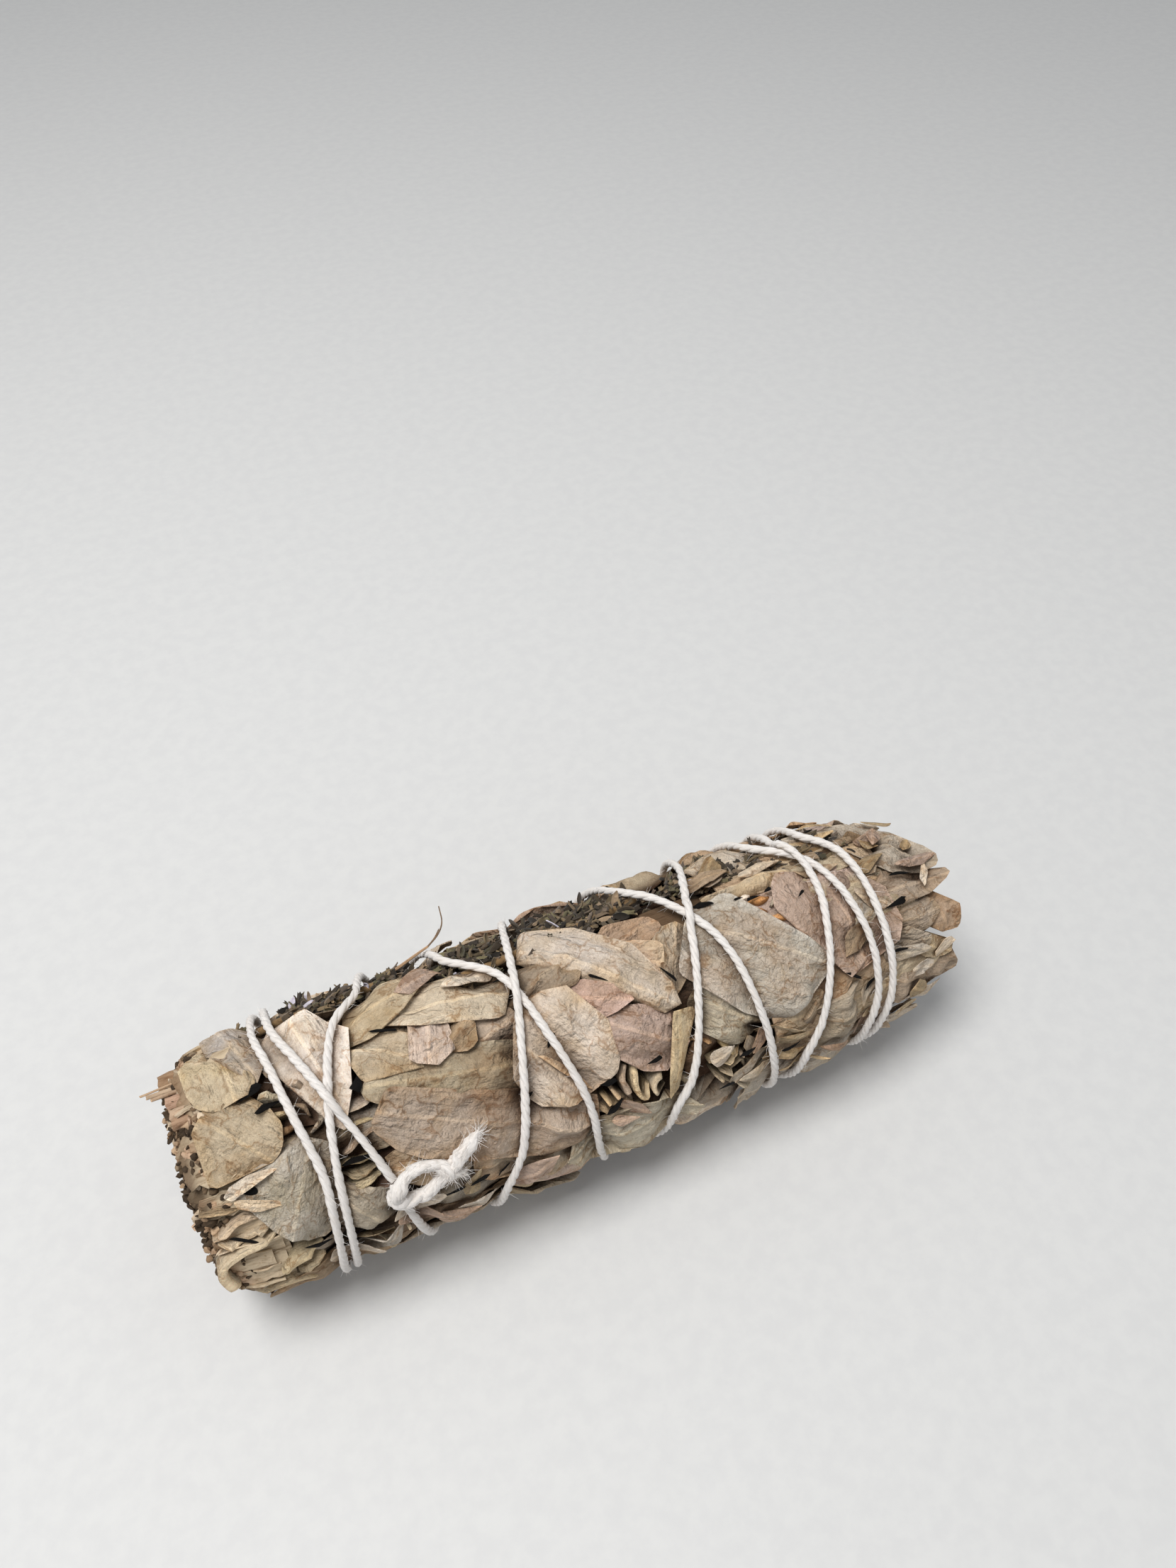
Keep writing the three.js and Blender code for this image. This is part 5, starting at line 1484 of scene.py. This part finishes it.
def leaf_material():
    """Velvety dry leaf: its own tint, blotches, side veins, a fine net of veins and short fuzz."""
    shader = Shader("dry_sage_leaf")
    tint = shader.tint()
    where = shader.own_uv()
    split = shader.node("ShaderNodeSeparateXYZ", [(0, where)])
    along, across = split.outputs[0], split.outputs[1]
    vein = tint.outputs["Alpha"]

    wobble = shader.noise(where, 0.35, 2)
    net_line = shader.ramp(shader.cells(where, 0.85), 0.0, 0.16, 1.0, 0.0)
    mirrored = shader.math("ABSOLUTE", across)
    slant = shader.math("SUBTRACT", along, shader.times(mirrored, 1.15))
    bands = shader.total(shader.times(slant, 0.24), shader.times(wobble, 1.1))
    saw = shader.math("ABSOLUTE", shader.math("SUBTRACT", shader.math("FRACT", bands), 0.5))
    side_vein = shader.ramp(saw, 0.0, 0.055, 1.0, 0.0)
    rib = shader.ramp(mirrored, 0.2, 0.5, 1.0, 0.0)
    streak = shader.noise(shader.stretched(where, (0.16, 1.3, 1)), 1.0, 3, 0.6)
    mottle = shader.noise(where, 0.5, 3, 0.65)
    fuzz = shader.noise(where, 5.0, 3, 0.75)
    blotch = shader.noise(where, 0.22, 4, 0.6)
    fleck = shader.noise(where, 1.7, 2, 0.5)
    drift = shader.node("ShaderNodeTexNoise", [("Vector", where), ("Scale", 0.3), ("Detail", 3.0)])
    moved = [(0, drift.outputs["Color"]), (1, (6.0, 6.0, 0)), (2, shader.stretched(where, (0.5, 1, 1)))]
    bent = shader.node("ShaderNodeVectorMath", moved, operation="MULTIPLY_ADD").outputs[0]
    fold = shader.cells(bent, 0.22)
    crease = shader.ramp(fold, 0.0, 0.05, 1.0, 0.0)
    crest = shader.ramp(fold, 0.0, 0.22, 1.0, 0.0)

    base = tint.outputs["Color"]
    browner = shader.toned(base, (0.86, 0.78, 0.66))
    colour = shader.mix(shader.ramp(blotch, 0.5, 0.72, 0.0, 0.8), base, browner)
    stained = shader.toned(colour, (0.8, 0.72, 0.64))
    colour = shader.mix(shader.ramp(streak, 0.52, 0.7, 0.0, 0.5), colour, stained)
    bleached = shader.toned(colour, (1.14, 1.15, 1.16))
    colour = shader.mix(shader.ramp(mottle, 0.48, 0.62, 0.0, 0.5), colour, bleached)
    colour = shader.mix(shader.ramp(mottle, 0.34, 0.46, 0.35, 0.0), colour, stained)
    creased = shader.toned(colour, (0.66, 0.56, 0.48))
    colour = shader.mix(shader.times(crease, shader.ramp(blotch, 0.4, 0.55)), colour, creased)
    speck = shader.toned(colour, (0.55, 0.42, 0.3))
    colour = shader.mix(shader.ramp(fleck, 0.69, 0.76, 0.0, 0.55), colour, speck)
    lighter = shader.toned(colour, (1.36, 1.32, 1.24))
    darker = shader.toned(colour, (0.76, 0.7, 0.62))
    lines = shader.times(shader.math("MAXIMUM", shader.times(net_line, 0.5), side_vein), vein)
    colour = shader.mix(shader.times(lines, 0.7), colour, darker)
    colour = shader.mix(shader.times(rib, 0.7), colour, lighter)
    coarse = shader.ramp(shader.noise(where, 1.1, 4, 0.75), 0.3, 0.7, 0.88, 1.1)
    grain = shader.times(shader.ramp(fuzz, 0.3, 0.7, 0.86, 1.1), coarse)
    grey = shader.node("ShaderNodeCombineXYZ", [(0, grain), (1, grain), (2, grain)]).outputs[0]
    colour = shader.mix(1.0, colour, grey, "MULTIPLY")

    crumple = shader.math("ABSOLUTE", shader.math("SUBTRACT", shader.noise(where, 0.32, 3), 0.5))
    raised = shader.total(
        shader.times(lines, -0.5),
        shader.times(fuzz, 0.9),
        shader.times(shader.noise(where, 1.2, 4, 0.7), 2.6),
        shader.times(crest, 2.0),
        shader.times(crumple, 6.0),
        shader.times(streak, 2.4),
    )
    return shader.finish({
        "Base Color": colour,
        "Normal": shader.bump(raised, 0.9, 0.0004),
        "Roughness": 0.88,
        "Specular IOR Level": 0.25,
        "Sheen Weight": 0.2,
        "Sheen Roughness": 0.6,
        "Sheen Tint": colour,
    })


def stem_material():
    """Dry woody stems, sawn ends and crumbs: streaks along the piece over its own tint."""
    shader = Shader("dry_stem")
    where = shader.place()
    streak = shader.noise(shader.stretched(where, (250, 1800, 1800)), 1.0, 4, 0.7)
    fleck = shader.noise(where, 1400, 3, 0.7)
    base = shader.tint().outputs["Color"]
    darker = shader.toned(base, (0.45, 0.36, 0.28))
    colour = shader.mix(shader.ramp(streak, 0.45, 0.75, 0.0, 0.8), base, darker)
    colour = shader.mix(shader.ramp(fleck, 0.6, 0.75, 0.0, 0.6), colour, darker)
    return shader.finish({
        "Base Color": colour,
        "Normal": shader.bump(shader.total(streak, fleck), 0.7, 0.0003),
        "Roughness": 0.9,
        "Specular IOR Level": 0.25,
    })


def herb_material():
    """Dark dry calyxes and stems, paler where they are rubbed."""
    shader = Shader("dry_herb")
    rough = shader.noise(shader.place(), 900, 4, 0.7)
    base = shader.tint().outputs["Color"]
    paler = shader.toned(base, (1.6, 1.55, 1.5))
    darker = shader.toned(base, (0.45, 0.4, 0.35))
    colour = shader.mix(shader.ramp(rough, 0.5, 0.7, 0.0, 0.7), base, paler)
    colour = shader.mix(shader.ramp(rough, 0.3, 0.48, 0.8, 0.0), colour, darker)
    return shader.finish({
        "Base Color": colour,
        "Normal": shader.bump(rough, 0.6, 0.0003),
        "Roughness": 0.9,
        "Sheen Weight": 0.15,
    })


def cotton_material():
    """Soft-spun undyed cotton: fibre streaks along the strand and a light fuzz."""
    shader = Shader("cotton_string")
    where = shader.own_uv()
    fibre = shader.noise(shader.stretched(where, (0.7, 5, 1)), 1.3, 4, 0.7)
    soft = shader.noise(where, 0.25, 2)
    colour = shader.mix(shader.ramp(fibre, 0.3, 0.7), colour4((188, 188, 182)), colour4((210, 213, 211)))
    colour = shader.mix(shader.ramp(soft, 0.4, 0.75, 0.0, 0.35), colour, colour4((194, 190, 180)))
    return shader.finish({
        "Base Color": colour,
        "Normal": shader.bump(fibre, 0.5, 0.00025),
        "Roughness": 0.9,
        "Specular IOR Level": 0.2,
        "Sheen Weight": 0.25,
    })


def floor_material():
    shader = Shader("pale_table")
    grain = shader.noise(shader.place(), 260, 3)
    colour = shader.mix(shader.ramp(grain, 0.3, 0.7), (0.66, 0.66, 0.66, 1), (0.69, 0.69, 0.685, 1))
    return shader.finish({"Base Color": colour, "Roughness": 0.55, "Specular IOR Level": 0.3})


# Stage, lights and camera

# Metres, watts and millimetres of sensor, as the scene's own objects need them
FLOOR_HALF = 2.5
ROOM_COLOUR = (0.96, 0.98, 1.0, 1)
ROOM_STRENGTH = 0.42
KEY_PLACE = (-0.24, 0.0, 0.88)
KEY_TARGET = (0, 0, 0.02)
KEY_SIZE = 0.42
KEY_POWER = 6.6
KEY_COLOUR = (1, 0.99, 0.97)
CAMERA_PLACE = (-0.0438, -0.1032, 0.2301)
CAMERA_RIGHT = (0.9135, -0.4067, 0.0)
CAMERA_FORWARD = (0.2615, 0.587, -0.766)
SENSOR_HEIGHT = 36.0
LENS = 27.05


def floor():
    mesh = bpy.data.meshes.new("floor")
    corners = [(x * FLOOR_HALF, y * FLOOR_HALF, 0) for x, y in ((-1, -1), (1, -1), (1, 1), (-1, 1))]
    mesh.from_pydata(corners, [], [(0, 1, 2, 3)])
    mesh.materials.append(floor_material())
    made = bpy.data.objects.new("floor", mesh)
    bpy.context.scene.collection.objects.link(made)


def key_light():
    data = bpy.data.lights.new("key", "AREA")
    data.shape = "DISK"
    data.size = KEY_SIZE
    data.energy = KEY_POWER
    data.color = KEY_COLOUR
    made = bpy.data.objects.new("key", data)
    made.location = KEY_PLACE
    made.rotation_euler = (Vector(KEY_TARGET) - Vector(KEY_PLACE)).to_track_quat("-Z", "Y").to_euler()
    bpy.context.scene.collection.objects.link(made)


def room_light():
    world = bpy.data.worlds.new("soft_room")
    world.use_nodes = True
    background = world.node_tree.nodes["Background"]
    background.inputs[0].default_value = ROOM_COLOUR
    background.inputs[1].default_value = ROOM_STRENGTH
    bpy.context.scene.world = world


def camera():
    data = bpy.data.cameras.new("camera")
    data.sensor_fit = "VERTICAL"
    data.sensor_height = SENSOR_HEIGHT
    data.lens = LENS
    data.clip_start = 0.01
    made = bpy.data.objects.new("camera", data)
    right = Vector(CAMERA_RIGHT).normalized()
    back = -Vector(CAMERA_FORWARD).normalized()
    up = back.cross(right).normalized()
    made.matrix_world = Matrix.Translation(CAMERA_PLACE) @ Matrix((right, up, back)).transposed().to_4x4()
    bpy.context.scene.collection.objects.link(made)
    bpy.context.scene.camera = made


# The knot: a loop, a wrap over its neck, and two frayed ends. Each point is the distance,
# the angle and the height of the strand's middle above the leaves.
KNOT_LOOP = [(32.6, 31.5, 0.6), (31.5, 28, 1.2), (32.4, 24.6, 1.2), (35.4, 23.4, 1.1), (38.5, 25.4, 1.3),
             (40.7, 29.4, 1.8), (40.0, 33.4, 1.6), (37.4, 36.2, 1.4), (34.7, 35.2, 1.3), (33.0, 32.2, 2.2),
             (32.0, 28.6, 1.9), (32.5, 25.6, 0.3)]
KNOT_WRAP = [(40.4, 27.2, 0.6), (41.1, 28.6, 2.0), (41.5, 31.0, 2.8), (41.0, 33.6, 2.2), (40.2, 35.2, 0.8)]
LONG_END = [(40.0, 29, 1.6), (41.8, 31.6, 2.1), (43.8, 34.4, 1.8), (46.0, 37.4, 1.7), (48.2, 40.4, 1.4)]
LONG_END_RADII = [0.8, 1.1, 1.5, 1.4, 0.5]
SHORT_END = [(40.4, 31.5, 1.9), (42.2, 28.8, 1.9), (43.8, 26.8, 1.3)]
SHORT_END_RADII = [0.8, 1.1, 0.4]


PLY_STEP = 0.5
COTTON_TINT = (1, 1, 1, 1)


def knot_path(points):
    distance, angle, height = np.array(points, float).T
    path = on_bundle(distance, angle, bundle_radius(distance) + height)
    return even_path(smooth_path(path, PLY_STEP), PLY_STEP)


def strand(piece, path, radii, seed, sides, depth):
    """One stretch of spun cotton along a path."""
    uneven = 1 + 0.1 * noise(np.arange(len(path))[:, None] / 3.5, seed)
    points, triangles = loft(tube_rings(path, radii * uneven, sides, lobes=4, twist=0.6, depth=depth))
    run = np.repeat(np.arange(len(path)) * PLY_STEP, sides) + 17.0 * (seed % 89)
    uv = np.stack([run, np.tile(np.arange(sides) * 0.55, len(path)) + 0.2 * run], 1)
    piece.add(points, triangles, COTTON_TINT, capped(uv))


def plies(piece, path, radii, count, seed, twist=0.5, sides=10, loose=0.25):
    """Soft strands twisted round one path."""
    runs = tangents(path)
    side = np.cross(runs, (0.1, -0.5, 0.86))
    side /= np.linalg.norm(side, axis=1, keepdims=True)
    lift = np.cross(side, runs)
    step = np.arange(len(path))[:, None]
    for k in range(count):
        turn = 2 * math.pi * k / count + twist * step + 3.6 * loose * noise(step / 6.0, seed + k)[:, None]
        away = np.reshape(radii, (-1, 1)) * (0.35 + loose * noise(step / 4.0, seed + 20 + k)[:, None])
        middle = path + away * (np.cos(turn) * side + np.sin(turn) * lift)
        strand(piece, middle, np.ravel(radii) * 0.66, seed + 40 + k, sides, depth=1.2 * loose)


def fibres(piece, path, radii, count, reach, thick, along, seed, stand=(0.2, 0.7)):
    """Loose fibres that stand off a strand, each a thin curved hair."""
    rng = np.random.default_rng(seed)
    runs = tangents(path)
    radii = np.broadcast_to(np.asarray(radii, float), (len(path),))
    turn = np.linspace(0, 2 * math.pi, 3, endpoint=False)
    share = np.linspace(0, 1, 4)[:, None]
    for _ in range(count):
        i = rng.integers(len(path))
        out = rng.normal(size=3)
        out -= runs[i] * (out @ runs[i])
        out /= np.linalg.norm(out)
        length = rng.uniform(0.5, 1.0) * reach
        lean = runs[i] * rng.uniform(-1, 1) * along + out * rng.uniform(*stand)
        bend = np.clip(rng.normal(size=3), -1.1, 1.1) * 0.7
        line = path[i] + out * radii[i] * 0.9 + lean * share * length + bend * share ** 2 * length
        line[:, 2] = np.maximum(line[:, 2], 0.1)
        up = np.cross(lean, bend)
        up /= max(np.linalg.norm(up), 1e-6)
        side = np.cross(up, lean / np.linalg.norm(lean))
        wide = thick * (1.1 - 0.8 * share)
        rings = (line[:, None, :] + (wide * np.cos(turn))[:, :, None] * side
                 + (wide * np.sin(turn))[:, :, None] * up)
        points, triangles = loft(rings)
        piece.add(points, triangles, COTTON_TINT, np.tile([[i * PLY_STEP, 0.0]], (len(points), 1)))


def knot(piece):
    loop = knot_path(KNOT_LOOP)
    plies(piece, loop, np.full(len(loop), 1.25), count=4, seed=81, twist=0.35)
    fibres(piece, loop, 1.2, count=420, reach=1.8, thick=0.04, along=0.9, seed=82, stand=(0.05, 0.4))
    wrap = knot_path(KNOT_WRAP)
    plies(piece, wrap, np.full(len(wrap), 0.9), count=3, seed=83)
    fibres(piece, wrap, 0.9, count=80, reach=1.4, thick=0.04, along=0.9, seed=84, stand=(0.05, 0.4))
    for points, radii, seed in ((LONG_END, LONG_END_RADII, 85), (SHORT_END, SHORT_END_RADII, 87)):
        path = knot_path(points)
        girth = np.interp(np.linspace(0, 1, len(path)), np.linspace(0, 1, len(radii)), radii)
        plies(piece, path, girth, count=6, seed=100 * seed, twist=0.3)
        fibres(piece, path, girth * 0.9, count=60 * len(points), reach=2.2, thick=0.05, along=1.1, seed=seed + 1,
               stand=(0.05, 0.35))
        tip = path[-max(4, len(path) // 3):]
        fibres(piece, tip, 0.4, count=16 * len(points), reach=2.4, thick=0.07, along=1.2, seed=seed + 30,
               stand=(0.1, 0.4))


PLIED_RADIUS = 0.8 * STRING_RADIUS


def string_piece():
    piece = Piece("cotton_string")
    uneven = 1 + 0.08 * noise(np.arange(len(string_centre))[:, None] / 6.0, 71)
    plies(piece, string_centre, PLIED_RADIUS * uneven, count=3, seed=71, twist=0.8, sides=8, loose=0.06)
    fibres(piece, string_centre, PLIED_RADIUS, count=1900, reach=1.6, thick=0.035, along=0.8, seed=72)
    knot(piece)
    return piece


camera()
floor()
room_light()
key_light()
lay_leaf(spacing=0.7, seed=95, **RIBBON)
for i, trim in enumerate(TRIMS):
    lay_leaf(spacing=0.5, seed=96 + i, curl=0.1, wrinkle=0.1, tear=0.12, vein=0.1, thickness=0.3, gap=0.05, **trim)
lay_painted_shadow_patches()
lay_slivers()
lay_heroes()
open_gaps()
clear_sprays()
stand_edges()
lay_layers(BACK_LAYERS, first_seed=21, tear=0.25, wrinkle=0.4)
lay_layers(INNER_LAYERS, first_seed=23, tear=0.3, wrinkle=0.45)
sawn_end()
tip_leaves()
core()

leaf = leaf_material()
stem = stem_material()
herb = herb_material()
cotton = cotton_material()

for k, piece in enumerate(sprigs):
    made = piece.make([leaf, stem])
    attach(made, "root")
    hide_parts(f"sage_sprig_{k + 1}")

for k, spray in enumerate(SPRAYS):
    piece = herb_spray(k, spray)
    if k == 0:
        twigs(piece)
    made = piece.make([herb])
    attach(made, "root")
    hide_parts(f"herb_spray_{k + 1}")

made = string_piece().make([cotton])
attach(made, "root")
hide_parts("binding_string")

bpy.context.scene.view_settings.view_transform = "Standard"
